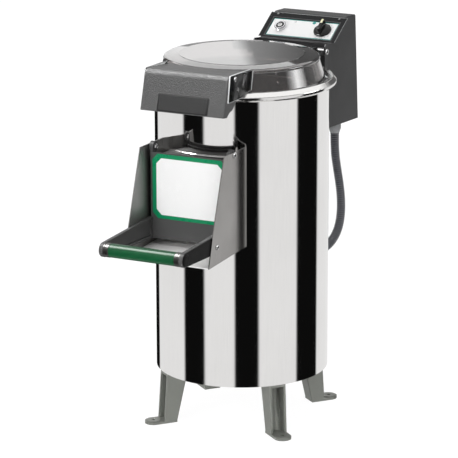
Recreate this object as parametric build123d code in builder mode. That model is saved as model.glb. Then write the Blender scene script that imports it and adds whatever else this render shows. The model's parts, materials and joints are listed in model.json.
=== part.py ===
from build123d import *
from math import atan2, cos, pi, radians, sin, sqrt, tan
import os

# Electric potato peeler: an upright steel drum on four cast legs, with an abrasive disc turned by a
# belt from a motor under the drum floor, a front discharge door over a chute, a hinged clear lid and
# a control box behind it. Millimetres, +Z up, front towards -Y, origin on the drum axis at the floor.

os.makedirs("parts", exist_ok=True)

# Clearances
RUN_GAP = 0.05        # radial clearance of a pin or shaft in its hole
BODY_GAP = 0.3        # gap between faces of parts that move against each other
SOFT_EDGE = 1.5       # rounding of moulded and painted edges
CAST_EDGE = 3         # rounding of cast edges

# Drum
LEG_H = 120           # floor to the lower edge of the casing
CASING_R = 200
SHEET = 1.5
INNER_R = CASING_R - SHEET
CASING_TOP = 786
FLOOR_TOP = 400       # upper face of the drum floor
FLOOR_T = 4
FLOOR_UNDER = FLOOR_TOP - FLOOR_T
LINER_T = 8.5
LINER_TOP = 760
BASE_T = 4
BASE_VENT_R = 60

# Rim ring, gasket and lid
RING_R = 216.5
RING_TOP = 806
SEAT_R = 188
SEAT_TOP = 796
GASKET_T = 4
LID_FOOT_R = 196
LID_FOOT_Z = SEAT_TOP + GASKET_T + BODY_GAP
LID_WALL_LOW = (190.2, 804.2)
LID_WALL_TOP = (178.5, 843.5)
LID_BEAD = (178.8, 847.5)      # widest point of the rounded shoulder
LID_EDGE = (172, 853.4)        # where the shoulder meets the sloping border
LID_TOP = 857
LID_T = 4
LID_STEP_R = 143               # raised middle of the lid
LID_STEP = 0.8
LID_AXIS_Y = 254
LID_AXIS_Z = 822
LID_PIN_R = 6
BRACKET_X = 66        # inner face of each hinge ear on the lid
BRACKET_T = 6
BRACKET_EYE_R = 9
BRACKET_HALF = 100    # half the width of the curved plate behind the lid
BRACKET_Z = (826, 846)

# Hood on the front of the lid
HOOD_X = 104
HOOD_T = 3
HOOD_TOP = 861
HOOD_FRONT_LOW = (-293, 771)
HOOD_FRONT_TOP = (-268, HOOD_TOP)
HOOD_REAR_TOP = (-140, 850.4)  # the top leans down towards the lid
HOOD_CUT_R = 181      # curved rear edge of the top
HOOD_BEND_R = 15
EAR_T = 2.5
EAR_FLANGE = 7
EAR_SCREW_AT = (-243, 850)
EAR_SCREW_R = 3
GRIP_X = 63
GRIP_TOP = 810
GRIP_T = 1.2

# Discharge neck, chute and door
NECK_X = 92
NECK_LOW = 473
NECK_TOP = 657
NECK_FRONT = -240
CHEEK_X = 104
CHEEK_T = 2
CHEEK_TOP = 686
CHEEK_REAR = -187     # from here the sheet turns in to the casing
CHEEK_TURN = (97, -172)
CHUTE_FRONT = -369
CHUTE_FRONT_Z = 450.5
CHUTE_REAR_Z = 460
CHUTE_REAR = -170
DOOR_X = 98
DOOR_LOW = 471
DOOR_TOP = 669
DOOR_RIM_TOP = 662
DOOR_FRONT = -258
DOOR_PLATE_T = 3
DOOR_AXIS_Y = -245
DOOR_AXIS_Z = 679
DOOR_PIN_R = 5
LUG_R = 12
LABEL_X = 93
LABEL_Z = (518, 666.4)
LABEL_CUT = 13.5
LABEL_T = 0.6
LUG_X = (93, 102.5)
ARM_X = (94, 103)
ARM_Z = 496           # middle of the arms where they meet the door
ARM_H = 48
ARM_EDGE = 6          # raised border round each arm's recess
ARM_WEB_T = 6
HANDLE_Y = -471
HANDLE_Z = 494.5
HANDLE_R = 15.5
TUBE_R = 14.2
GRIP_HALF = 81
CATCH_Y = -329
CATCH_Z = 490
CATCH_R = 4

# Drive
HUB_FLANGE_R = 62
HUB_FLANGE_T = 8
HUB_NECK_R = 30       # where the hub passes through the drum floor
HUB_LIP = 14          # height of the lip round the shaft seal
HUB_CLEAR_R = (16, 22)
SEAL_R = 20
SEAL_STEP = 6
DISC_R = 184
DISC_Z = 452
DISC_T = 8
SHAFT_R = 12.5
SHAFT_Z = (140, 470)
BEARING_R = 26
BEARING_T = 15
BARREL_R = 40
BARREL_LOW = 230
BELT_Z = 160
PULLEY_R = 90
MOTOR_PULLEY_R = 22
PULLEY_T = 20
BELT_T = 9
BELT_W = 8
MOTOR_Y = 118
MOTOR_R = 64
MOTOR_TOP = 372
ROTOR_R = 35
MOTOR_SHAFT_R = 9.5
PLATE_Z = 186
PLATE_T = 6
STUD_X = 75
STUD_Y = (30, 165)
STUD_R = 6

# Legs
LEG_W = 40
LEG_ANGLE = -39       # first leg, measured from +X about the drum axis
LEG_HEAD = (146, 198)   # inner and outer radius under the base
LEG_HEEL = (174, 206)   # the same at the floor
LEG_FLANGE = (122, 150)
LEG_WEB = 7.5
FOOT_R = 226          # radius of the circle of floor bolts
PAD_T = 6
FOOT_HOLE_R = 4.5
LEG_FLANGE_T = 6
LEG_BOLT_R = 5
LEG_BOLT_AT = (134, 172)

# Control box behind the drum
BOX_X = 94
BOX_T = 2
BOX_FRONT = 268
BOX_LOW_FRONT = (BOX_FRONT, 635)
BOX_LOW_REAR = (437, 627)
BOX_TOP_REAR = (417, 885)
BOX_TOP_FRONT = (363, 887)
BOX_NOSE = (283, 837)
EAR_FRONT = 246
PANEL_CENTRE_Y = 317.5
PANEL_X = 85
PANEL_Y = 29.3
BUTTON_AT = (-57, 0)
BUTTON_R = 9.3
BEZEL_R = 15
KNOB_AT = (53.5, 0)
KNOB_R = 22
SPINDLE_R = 3
CONTACTOR_AT = (-36, 735)
CONTACTOR_DEPTH = 64
TERMINALS_AT = (42, 700)
TERMINAL_DEPTH = 24
BOX_SCREW_R = 1.8
BOX_SCREW_HEAD_R = 3.4

# Water and drain
DRAIN_AT = (-60, 424)
DRAIN_R = 21
SPIGOT_R = 20
SPIGOT_L = 40
INLET_AT = (-122, 700)
NOZZLE_R = 9
INLET_R = 13.2

# Conduit from the control box to the motor bay
CONDUIT_R = 11
CONDUIT_ROUTE = [(72, 351, 606), (72, 351, 562), (80, 350, 516), (92, 343, 470), (102, 328, 425),
                 (107, 304, 385), (102, 274, 356), (90, 240, 342), (78, 208, 342)]
GLAND_R = 14
GLAND_SHANK_R = 10.5
GLAND_TOP = 629       # underside of the control box at the glands
MAINS_AT = (-50, 85)  # on the back cover, across and down from its middle
MAINS_R = 10
MAINS_SHANK_R = 7
MAINS_BORE_R = 4
MAINS_OUT = 18
MAINS_IN = 12

slope = atan2(BOX_TOP_FRONT[1] - BOX_NOSE[1], BOX_TOP_FRONT[0] - BOX_NOSE[0])
panel_z = BOX_NOSE[1] + (PANEL_CENTRE_Y - BOX_NOSE[0]) * tan(slope)
panel_plane = Plane(origin=(0, PANEL_CENTRE_Y, panel_z), x_dir=(1, 0, 0),
                    z_dir=(0, -sin(slope), cos(slope)))


def save(builder, name):
    """Label a finished sub-part and write its STEP file."""
    builder.part.label = name
    export_step(builder.part, f"parts/{name}.step")


def panel_at(depth):
    """The plane of the sloping panel, moved along its outward normal."""
    return panel_plane.offset(depth)


# ---------------------------------------------------------------- casing and drum

with BuildPart() as outer_casing:
    with BuildSketch(Plane.XY.offset(LEG_H)):
        Circle(CASING_R)
        Circle(INNER_R, mode=Mode.SUBTRACT)
    extrude(amount=CASING_TOP - LEG_H)
    with BuildSketch(Plane.XZ):
        with Locations((0, (NECK_LOW + NECK_TOP) / 2)):
            Rectangle(2 * (NECK_X - SHEET), NECK_TOP - NECK_LOW - 2 * SHEET)
    extrude(amount=CASING_R + 10, mode=Mode.SUBTRACT)
    with BuildSketch(Plane.XZ):
        with Locations(DRAIN_AT):
            Circle(DRAIN_R)
        with Locations(INLET_AT):
            Circle(NOZZLE_R)
    extrude(amount=-(CASING_R + 10), mode=Mode.SUBTRACT)
    gland_x, gland_y, gland_z = CONDUIT_ROUTE[-1]
    gland_plane = Plane(origin=(0, 0, gland_z), x_dir=(0, 0, 1), z_dir=(gland_x, gland_y, 0))
    with BuildSketch(gland_plane.offset(CASING_R - 20)):
        Circle(CONDUIT_R)
    extrude(amount=40, mode=Mode.SUBTRACT)
save(outer_casing, "outer_casing")

with BuildPart() as rim_ring:
    with BuildSketch(Plane.XZ) as ring_profile:
        with BuildLine():
            Polyline([(SEAT_R, CASING_TOP), (211, CASING_TOP), (RING_R, 791),
                      (RING_R, 797), (209, RING_TOP), (197.6, RING_TOP),
                      (197.6, SEAT_TOP), (SEAT_R, SEAT_TOP)], close=True)
        make_face()
        fillet(ring_profile.vertices().filter_by_position(Axis.X, CASING_R, RING_R + 1), radius=3)
    revolve(axis=Axis.Z)
save(rim_ring, "rim_ring")

with BuildPart() as rim_gasket:
    with BuildSketch(Plane.XY.offset(SEAT_TOP)):
        Circle(197.4)
        Circle(SEAT_R + 0.5, mode=Mode.SUBTRACT)
    extrude(amount=GASKET_T)
save(rim_gasket, "rim_gasket")

with BuildPart() as drum_floor:
    with BuildSketch(Plane.XY.offset(FLOOR_UNDER)):
        Circle(INNER_R)
        Circle(HUB_NECK_R, mode=Mode.SUBTRACT)
        for side in (-1, 1):
            with Locations(*[(side * STUD_X, y) for y in STUD_Y]):
                Circle(STUD_R, mode=Mode.SUBTRACT)
    extrude(amount=FLOOR_T)
save(drum_floor, "drum_floor")

with BuildPart() as abrasive_liner:
    with BuildSketch(Plane.XY.offset(FLOOR_TOP)):
        Circle(INNER_R)
        Circle(INNER_R - LINER_T, mode=Mode.SUBTRACT)
    extrude(amount=LINER_TOP - FLOOR_TOP)
    with BuildSketch(Plane.XZ):
        with Locations((0, (NECK_LOW + NECK_TOP) / 2)):
            Rectangle(2 * (NECK_X - SHEET), NECK_TOP - NECK_LOW - 2 * SHEET)
    extrude(amount=CASING_R, mode=Mode.SUBTRACT)
    with BuildSketch(Plane.XZ):
        with Locations(DRAIN_AT):
            Circle(DRAIN_R)
        with Locations(INLET_AT):
            Circle(NOZZLE_R)
    extrude(amount=-CASING_R, mode=Mode.SUBTRACT)
save(abrasive_liner, "abrasive_liner")

leg_angles = [LEG_ANGLE + 90 * k for k in range(4)]

with BuildPart() as base_plate:
    with BuildSketch(Plane.XY.offset(LEG_H)):
        Circle(INNER_R)
        Circle(BASE_VENT_R, mode=Mode.SUBTRACT)
        for radius in LEG_BOLT_AT:
            with PolarLocations(radius, 4, start_angle=LEG_ANGLE):
                Circle(LEG_BOLT_R + RUN_GAP, mode=Mode.SUBTRACT)
    extrude(amount=BASE_T)
save(base_plate, "base_plate")

# ---------------------------------------------------------------- legs

gutter_out = LEG_HEEL[1] + 26
with BuildPart() as gutter:
    with BuildSketch(Plane.XZ):
        with BuildLine():
            Polyline([(LEG_HEAD[0] + LEG_WEB, LEG_H - LEG_FLANGE_T), (gutter_out, LEG_H - LEG_FLANGE_T),
                      (gutter_out, PAD_T), (LEG_HEEL[0] + LEG_WEB, PAD_T)], close=True)
        make_face()
    extrude(amount=LEG_W / 2 - 5, both=True)
    inner_edges = gutter.edges().filter_by(lambda e: e.length > 100).sort_by(Axis.X)[:2]
    fillet(inner_edges, radius=12)

with BuildPart() as leg_pattern:
    with BuildSketch(Plane.XZ):
        with BuildLine():
            Polyline([(LEG_HEAD[0], LEG_H), (LEG_HEAD[1], LEG_H), (LEG_HEEL[1], 0), (LEG_HEEL[0], 0)],
                     close=True)
        make_face()
    extrude(amount=LEG_W / 2, both=True)
    fillet(leg_pattern.edges().filter_by(lambda e: e.length > 100).sort_by(Axis.X)[:2], radius=CAST_EDGE)
    with BuildSketch(Plane.XY):
        with Locations(((LEG_HEEL[0] + FOOT_R) / 2, 0)):
            Rectangle(FOOT_R - LEG_HEEL[0], LEG_W)
        with Locations((FOOT_R, 0)):
            Circle(LEG_W / 2)
    extrude(amount=PAD_T)
    add(gutter.part, mode=Mode.SUBTRACT)
    with BuildSketch(Plane.XY.offset(LEG_H - LEG_FLANGE_T)):
        with Locations((sum(LEG_FLANGE) / 2, 0)):
            Rectangle(LEG_FLANGE[1] - LEG_FLANGE[0], LEG_W)
    extrude(amount=LEG_FLANGE_T)
    with BuildSketch(Plane.XY.offset(PAD_T)):
        with Locations((FOOT_R, 0)):
            Circle(LEG_W / 2 - 3)
    extrude(amount=1.5)
    with BuildSketch(Plane.XY.offset(-1)):
        with Locations((FOOT_R, 0)):
            Circle(FOOT_HOLE_R)
    extrude(amount=PAD_T + 4, mode=Mode.SUBTRACT)
    with BuildSketch(Plane.XY.offset(LEG_H - LEG_FLANGE_T - 1)):
        with Locations(*[(radius, 0) for radius in LEG_BOLT_AT]):
            Circle(LEG_BOLT_R + RUN_GAP)
    extrude(amount=LEG_FLANGE_T + 2, mode=Mode.SUBTRACT)

leg_names = ["leg_front_right", "leg_rear_right", "leg_rear_left", "leg_front_left"]
for leg_name, leg_angle in zip(leg_names, leg_angles):
    with BuildPart() as leg:
        add(leg_pattern.part, rotation=(0, 0, leg_angle))
    save(leg, leg_name)

with BuildPart() as leg_bolts:
    for radius in LEG_BOLT_AT:
        for z_low, height, size in ((LEG_H - LEG_FLANGE_T - 6, 6, 8), (LEG_H + BASE_T, 7, 8)):
            with BuildSketch(Plane.XY.offset(z_low)):
                with PolarLocations(radius, 4, start_angle=LEG_ANGLE):
                    RegularPolygon(size, 6)
            extrude(amount=height)
        with BuildSketch(Plane.XY.offset(LEG_H - LEG_FLANGE_T)):
            with PolarLocations(radius, 4, start_angle=LEG_ANGLE):
                Circle(LEG_BOLT_R)
        extrude(amount=LEG_FLANGE_T + BASE_T)
save(leg_bolts, "leg_bolts")

# ---------------------------------------------------------------- disc and its shaft

with BuildPart() as hub_housing:
    seat_low = BARREL_LOW + BEARING_T
    seat_top = FLOOR_UNDER - 20
    with BuildSketch(Plane.XZ):
        with BuildLine():
            Polyline([(BARREL_R, BARREL_LOW), (BARREL_R, FLOOR_UNDER - HUB_FLANGE_T),
                      (HUB_FLANGE_R, FLOOR_UNDER - HUB_FLANGE_T), (HUB_FLANGE_R, FLOOR_UNDER),
                      (HUB_NECK_R, FLOOR_UNDER), (HUB_NECK_R, FLOOR_TOP + HUB_LIP),
                      (SEAL_R, FLOOR_TOP + HUB_LIP), (SEAL_R, FLOOR_TOP + SEAL_STEP),
                      (HUB_CLEAR_R[0], FLOOR_TOP + SEAL_STEP), (HUB_CLEAR_R[0], seat_top + BEARING_T),
                      (BEARING_R, seat_top + BEARING_T), (BEARING_R, seat_top),
                      (HUB_CLEAR_R[1], seat_top), (HUB_CLEAR_R[1], seat_low),
                      (BEARING_R, seat_low), (BEARING_R, BARREL_LOW)], close=True)
        make_face()
    revolve(axis=Axis.Z)
save(hub_housing, "hub_housing")

with BuildPart() as shaft_bearings:
    for z_low in (BARREL_LOW, seat_top):
        with BuildSketch(Plane.XY.offset(z_low)):
            Circle(BEARING_R)
            Circle(SHAFT_R + RUN_GAP, mode=Mode.SUBTRACT)
        extrude(amount=BEARING_T)
save(shaft_bearings, "shaft_bearings")

with BuildPart() as shaft_seal:
    with BuildSketch(Plane.XY.offset(FLOOR_TOP + SEAL_STEP)):
        Circle(SEAL_R)
        Circle(SHAFT_R + RUN_GAP, mode=Mode.SUBTRACT)
    extrude(amount=7)
save(shaft_seal, "shaft_seal")

with BuildPart() as wave:
    with BuildSketch(Plane.YZ.offset(40)):
        with Locations((0, DISC_Z + DISC_T)):
            Ellipse(24, DISC_T)
    extrude(amount=DISC_R - 54)

with BuildPart() as peeling_disc:
    with BuildSketch(Plane.XY.offset(DISC_Z)):
        Circle(DISC_R)
    extrude(amount=DISC_T)
    with PolarLocations(0, 3):
        add(wave.part)
    with BuildSketch(Plane.XY.offset(DISC_Z - 24)):
        Circle(30)
    extrude(amount=24)
    with BuildSketch(Plane.XY.offset(DISC_Z - 30)):
        Circle(SHAFT_R)
    extrude(amount=60, mode=Mode.SUBTRACT)
save(peeling_disc, "peeling_disc")

with BuildPart() as disc_shaft:
    with BuildSketch(Plane.XY.offset(SHAFT_Z[0])):
        Circle(SHAFT_R)
    extrude(amount=SHAFT_Z[1] - SHAFT_Z[0])
    chamfer(disc_shaft.edges().group_by(Axis.Z)[0], length=1.5)
save(disc_shaft, "disc_shaft")

with BuildPart() as disc_nut:
    with BuildSketch(Plane.XY.offset(DISC_Z + DISC_T)):
        RegularPolygon(19, 6)
    extrude(amount=14)
    with BuildSketch(Plane.XY.offset(DISC_Z + DISC_T)):
        Circle(SHAFT_R)
    extrude(amount=SHAFT_Z[1] - DISC_Z - DISC_T, mode=Mode.SUBTRACT)
    fillet(disc_nut.faces().sort_by(Axis.Z)[-1].edges(), radius=2)
save(disc_nut, "disc_nut")


def pulley_profile(rim_radius, bore_radius):
    """Half section of a grooved pulley about its own axis, centred on the belt's height."""
    half = PULLEY_T / 2
    groove = BELT_W / 2 + 0.5
    root = rim_radius - BELT_T + BODY_GAP
    return [(bore_radius, -half), (rim_radius, -half), (rim_radius, -groove),
            (root, -groove), (root, groove), (rim_radius, groove),
            (rim_radius, half), (bore_radius, half)]


with BuildPart() as disc_pulley:
    with BuildSketch(Plane.XZ):
        with BuildLine():
            Polyline([(r, z + BELT_Z) for r, z in pulley_profile(PULLEY_R, SHAFT_R)], close=True)
        make_face()
    revolve(axis=Axis.Z)
    with BuildSketch(Plane.XY.offset(BELT_Z - PULLEY_T / 2)):
        with PolarLocations(50, 6):
            Circle(16)
    extrude(amount=PULLEY_T, mode=Mode.SUBTRACT)
save(disc_pulley, "disc_pulley")

# ---------------------------------------------------------------- motor and belt

motor_axis = Axis((0, MOTOR_Y, 0), (0, 0, 1))
motor_plane = Plane(origin=(0, MOTOR_Y, 0), x_dir=(1, 0, 0), z_dir=(0, -1, 0))

with BuildPart() as motor_pulley:
    with BuildSketch(motor_plane):
        with BuildLine():
            Polyline([(r, z + BELT_Z) for r, z in pulley_profile(MOTOR_PULLEY_R, MOTOR_SHAFT_R)],
                     close=True)
        make_face()
    revolve(axis=motor_axis)
save(motor_pulley, "motor_pulley")

with BuildPart() as motor_rotor:
    with BuildSketch(Plane.XY.offset(230)):
        with Locations((0, MOTOR_Y)):
            Circle(ROTOR_R)
    extrude(amount=100)
    with BuildSketch(Plane.XY.offset(145)):
        with Locations((0, MOTOR_Y)):
            Circle(MOTOR_SHAFT_R)
    extrude(amount=205)
save(motor_rotor, "motor_rotor")

with BuildPart() as motor_housing:
    shaft_hole = MOTOR_SHAFT_R + RUN_GAP
    motor_low = PLATE_Z + PLATE_T
    with BuildSketch(motor_plane):
        with BuildLine():
            Polyline([(shaft_hole, motor_low), (MOTOR_R, motor_low),
                      (MOTOR_R, MOTOR_TOP - 14), (MOTOR_R - 14, MOTOR_TOP),
                      (0, MOTOR_TOP), (0, 352), (shaft_hole, 352),
                      (shaft_hole, 340), (ROTOR_R + 1, 340),
                      (ROTOR_R + 1, 222), (shaft_hole, 222)], close=True)
        make_face()
    revolve(axis=motor_axis)
save(motor_housing, "motor_housing")

with BuildPart() as motor_plate:
    with BuildSketch(Plane.XY.offset(PLATE_Z)) as plate_outline:
        with Locations((0, 75)):
            Rectangle(190, 240)
        fillet(plate_outline.vertices(), radius=20)
        Circle(INNER_R - 3, mode=Mode.INTERSECT)
        Circle(20, mode=Mode.SUBTRACT)
        with Locations((0, MOTOR_Y)):
            Circle(14, mode=Mode.SUBTRACT)
        for side in (-1, 1):
            with Locations(*[(side * STUD_X, y) for y in STUD_Y]):
                Circle(STUD_R, mode=Mode.SUBTRACT)
    extrude(amount=PLATE_T)
save(motor_plate, "motor_plate")

with BuildPart() as plate_studs:
    stud_places = [(side * STUD_X, y) for side in (-1, 1) for y in STUD_Y]
    with BuildSketch(Plane.XY.offset(PLATE_Z - 12)):
        with Locations(*stud_places):
            Circle(STUD_R)
    extrude(amount=FLOOR_TOP - PLATE_Z + 12)
    for z_low in (PLATE_Z - 8, PLATE_Z + PLATE_T, FLOOR_UNDER - 8):
        with BuildSketch(Plane.XY.offset(z_low)):
            with Locations(*stud_places):
                RegularPolygon(10, 6)
        extrude(amount=8)
save(plate_studs, "plate_studs")

with BuildPart() as drive_belt:
    with BuildSketch(Plane.XY.offset(BELT_Z - BELT_W / 2)):
        Circle(PULLEY_R)
        with Locations((0, MOTOR_Y)):
            Circle(MOTOR_PULLEY_R)
        make_hull()
    extrude(amount=BELT_W)
    with BuildSketch(Plane.XY.offset(BELT_Z - BELT_W / 2)):
        Circle(PULLEY_R - BELT_T + 2 * BODY_GAP)
        with Locations((0, MOTOR_Y)):
            Circle(MOTOR_PULLEY_R - BELT_T + 2 * BODY_GAP)
        make_hull()
    extrude(amount=BELT_W, mode=Mode.SUBTRACT)
save(drive_belt, "drive_belt")

# ---------------------------------------------------------------- water and drain

with BuildPart() as drain_outlet:
    drain_start = sqrt((INNER_R - LINER_T) ** 2 - (abs(DRAIN_AT[0]) - DRAIN_R) ** 2)
    drain_runs = ((drain_start + 1, 24, DRAIN_R), (drain_start + 25, SPIGOT_L, SPIGOT_R))
    for y_low, length, radius in drain_runs:
        with BuildSketch(Plane.XZ.offset(-y_low)):
            with Locations(DRAIN_AT):
                Circle(radius)
        extrude(amount=-length)
    with BuildSketch(Plane.XZ.offset(-drain_start)):
        with Locations(DRAIN_AT):
            Circle(SPIGOT_R - SHEET)
    extrude(amount=-80, mode=Mode.SUBTRACT)
save(drain_outlet, "drain_outlet")

with BuildPart() as water_inlet:
    casing_y = sqrt(CASING_R ** 2 - INLET_AT[0] ** 2)
    for y_low, length, radius in ((casing_y - 22, 52, NOZZLE_R), (casing_y + 62, 16, INLET_R)):
        with BuildSketch(Plane.XZ.offset(-y_low)):
            with Locations(INLET_AT):
                Circle(radius)
        extrude(amount=-length)
    with BuildSketch(Plane.XZ.offset(-(casing_y + 30))):
        with Locations(INLET_AT):
            Rectangle(30, 40)
        with Locations((INLET_AT[0], INLET_AT[1] + 34)):
            Rectangle(26, 28)
    extrude(amount=-32)
    with BuildSketch(Plane.XZ.offset(-(casing_y + 46))):
        with Locations(INLET_AT):
            Circle(INLET_R - 3)
    extrude(amount=-40, mode=Mode.SUBTRACT)
save(water_inlet, "water_inlet")

# ---------------------------------------------------------------- neck, chute and door

with BuildPart() as casing_solid:
    Cylinder(CASING_R, 2 * CASING_TOP)

with BuildPart() as door_neck:
    with BuildSketch(Plane.XZ.offset(100)):
        with Locations((0, (NECK_LOW + NECK_TOP) / 2)):
            Rectangle(2 * NECK_X, NECK_TOP - NECK_LOW)
            Rectangle(2 * (NECK_X - SHEET), NECK_TOP - NECK_LOW - 2 * SHEET, mode=Mode.SUBTRACT)
    extrude(amount=-NECK_FRONT - 100)
    add(casing_solid.part, mode=Mode.SUBTRACT)
save(door_neck, "door_neck")

with BuildPart() as door_gasket:
    with BuildSketch(Plane.XZ.offset(-NECK_FRONT)):
        with Locations((0, (NECK_LOW + NECK_TOP) / 2)):
            Rectangle(2 * NECK_X, NECK_TOP - NECK_LOW)
            Rectangle(2 * NECK_X - 10, NECK_TOP - NECK_LOW - 10, mode=Mode.SUBTRACT)
    extrude(amount=3.7)
save(door_gasket, "door_gasket")

chute_slope = (CHUTE_REAR_Z - CHUTE_FRONT_Z) / (CHUTE_REAR - CHUTE_FRONT)
cheek_foot = CHUTE_REAR_Z - 2 - chute_slope * (CHUTE_REAR - CHEEK_REAR)

for side, cheek_name in ((-1, "cheek_left"), (1, "cheek_right")):
    inner_face = CHEEK_X if side > 0 else -CHEEK_X - CHEEK_T
    with BuildPart() as cheek:
        with BuildSketch(Plane.YZ.offset(inner_face)):
            with BuildLine():
                Polyline([(CHEEK_REAR, CHEEK_TOP), (-294, CHEEK_TOP), (-350, 518),
                          (CHUTE_FRONT, CHUTE_FRONT_Z - 2), (CHEEK_REAR, cheek_foot)], close=True)
            make_face()
            with Locations((DOOR_AXIS_Y, DOOR_AXIS_Z)):
                Circle(DOOR_PIN_R, mode=Mode.SUBTRACT)
            with Locations((CATCH_Y, CATCH_Z)):
                Circle(CATCH_R, mode=Mode.SUBTRACT)
        extrude(amount=CHEEK_T)
        with BuildSketch(Plane.XY.offset(cheek_foot)):
            with BuildLine():
                Polyline([(side * x, y) for x, y in (
                    (CHEEK_X, CHEEK_REAR - CHEEK_T), (CHEEK_X + CHEEK_T, CHEEK_REAR), CHEEK_TURN,
                    (CHEEK_TURN[0] - 0.86 * CHEEK_T, CHEEK_TURN[1] - 0.51 * CHEEK_T))], close=True)
            make_face()
        extrude(amount=CHEEK_TOP - cheek_foot)
        add(casing_solid.part, mode=Mode.SUBTRACT)
    save(cheek, cheek_name)

with BuildPart() as chute_floor:
    with BuildSketch(Plane.YZ):
        with BuildLine():
            Polyline([(CHUTE_REAR, CHUTE_REAR_Z), (CHUTE_FRONT, CHUTE_FRONT_Z),
                      (CHUTE_FRONT, CHUTE_FRONT_Z - 2), (CHUTE_REAR, CHUTE_REAR_Z - 2)], close=True)
        make_face()
    extrude(amount=CHEEK_X, both=True)
    add(casing_solid.part, mode=Mode.SUBTRACT)
    with BuildSketch():
        for side in (-1, 1):
            with BuildLine():
                Polyline([(side * x, y) for x, y in (
                    (CHEEK_X, CHEEK_REAR - CHEEK_T), (CHEEK_TURN[0] - CHEEK_T, CHEEK_TURN[1] - CHEEK_T / 2),
                    (CHEEK_TURN[0], -CHEEK_X), (2 * CHEEK_X, -CHEEK_X),
                    (2 * CHEEK_X, CHEEK_REAR - CHEEK_T))], close=True)
            make_face()
    extrude(amount=CASING_TOP, mode=Mode.SUBTRACT)
save(chute_floor, "chute_floor")

with BuildPart() as cheek_pins:
    for side in (-1, 1):
        for y, z, radius, inner_x, head_r in (
                (DOOR_AXIS_Y, DOOR_AXIS_Z, DOOR_PIN_R, LUG_X[0] - 1, 7),
                (CATCH_Y, CATCH_Z, CATCH_R, CHEEK_X - 0.5, 6)):
            for x_low, length, circle_r in ((inner_x, CHEEK_X + CHEEK_T - inner_x, radius),
                                            (CHEEK_X + CHEEK_T, 2.5, head_r)):
                with BuildSketch(Plane.YZ.offset(side * x_low)):
                    with Locations((y, z)):
                        Circle(circle_r)
                extrude(amount=side * length)
save(cheek_pins, "cheek_pins")

with BuildPart() as door_panel:
    with BuildSketch(Plane.XZ.offset(-DOOR_FRONT - DOOR_PLATE_T)):
        with Locations((0, (DOOR_LOW + DOOR_TOP) / 2)):
            Rectangle(2 * DOOR_X, DOOR_TOP - DOOR_LOW)
    extrude(amount=DOOR_PLATE_T)
    with BuildSketch(Plane.XZ.offset(-NECK_FRONT + 4)):
        with Locations((0, (DOOR_LOW + DOOR_RIM_TOP) / 2)):
            Rectangle(2 * DOOR_X, DOOR_RIM_TOP - DOOR_LOW)
        with Locations((0, (NECK_LOW + NECK_TOP) / 2)):
            Rectangle(2 * NECK_X - 10, NECK_TOP - NECK_LOW - 10, mode=Mode.SUBTRACT)
    extrude(amount=-DOOR_FRONT - DOOR_PLATE_T + NECK_FRONT - 4)
    for side in (-1, 1):
        with BuildSketch(Plane.YZ.offset(side * LUG_X[0])):
            with Locations((DOOR_AXIS_Y, DOOR_AXIS_Z)):
                Circle(LUG_R)
            with Locations(((DOOR_FRONT + NECK_FRONT - 4) / 2, (DOOR_RIM_TOP + DOOR_TOP) / 2)):
                Rectangle(-DOOR_FRONT + NECK_FRONT - 4, DOOR_TOP - DOOR_RIM_TOP + 2)
            make_hull()
        extrude(amount=side * (DOOR_X - LUG_X[0]))
        with BuildSketch(Plane.YZ.offset(side * LUG_X[0])):
            with Locations((DOOR_AXIS_Y, DOOR_AXIS_Z)):
                Circle(LUG_R)
        extrude(amount=side * (LUG_X[1] - LUG_X[0]))
        with BuildSketch(Plane.YZ.offset(side * (LUG_X[0] - 2))):
            with Locations((DOOR_AXIS_Y, DOOR_AXIS_Z)):
                Circle(DOOR_PIN_R + RUN_GAP)
        extrude(amount=side * 14, mode=Mode.SUBTRACT)
save(door_panel, "door_panel")

with BuildPart() as door_label:
    with BuildSketch(Plane.XZ.offset(-DOOR_FRONT)):
        with Locations((0, sum(LABEL_Z) / 2)):
            Rectangle(2 * LABEL_X, LABEL_Z[1] - LABEL_Z[0])
    extrude(amount=LABEL_T)
    chamfer(door_label.edges().filter_by(Axis.Y), length=LABEL_CUT)
save(door_label, "door_label")

with BuildPart() as door_arms:
    for side in (-1, 1):
        with BuildSketch(Plane.YZ.offset(side * ARM_X[0])):
            with Locations((DOOR_FRONT - 2, ARM_Z)):
                Rectangle(4, ARM_H)
            with Locations((HANDLE_Y, HANDLE_Z)):
                Circle(HANDLE_R + 1)
            make_hull()
        extrude(amount=side * (ARM_X[1] - ARM_X[0]))
        outer_face = door_arms.faces().filter_by(Axis.X).sort_by(Axis.X)[-1 if side > 0 else 0]
        fillet(outer_face.edges().filter_by(lambda e: e.center().Y < DOOR_FRONT - 10), radius=SOFT_EDGE)
        with BuildSketch(Plane.YZ.offset(side * ARM_X[0])):
            with Locations((DOOR_FRONT - 4 - ARM_EDGE, ARM_Z)):
                Rectangle(4, ARM_H - 2 * ARM_EDGE)
            with Locations((HANDLE_Y + 2 * HANDLE_R, HANDLE_Z)):
                Circle(HANDLE_R - 4)
            make_hull()
        extrude(amount=side * (ARM_X[1] - ARM_X[0] - ARM_WEB_T), mode=Mode.SUBTRACT)
save(door_arms, "door_arms")

with BuildPart() as handle_bar:
    with BuildSketch(Plane.YZ.offset(-ARM_X[0])):
        with Locations((HANDLE_Y, HANDLE_Z)):
            Circle(TUBE_R)
            Circle(TUBE_R - 2, mode=Mode.SUBTRACT)
    extrude(amount=2 * ARM_X[0])
save(handle_bar, "handle_bar")

with BuildPart() as handle_grip:
    with BuildSketch(Plane.YZ.offset(-GRIP_HALF)):
        with Locations((HANDLE_Y, HANDLE_Z)):
            Circle(HANDLE_R)
            Circle(TUBE_R, mode=Mode.SUBTRACT)
    extrude(amount=2 * GRIP_HALF)
save(handle_grip, "handle_grip")

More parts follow.
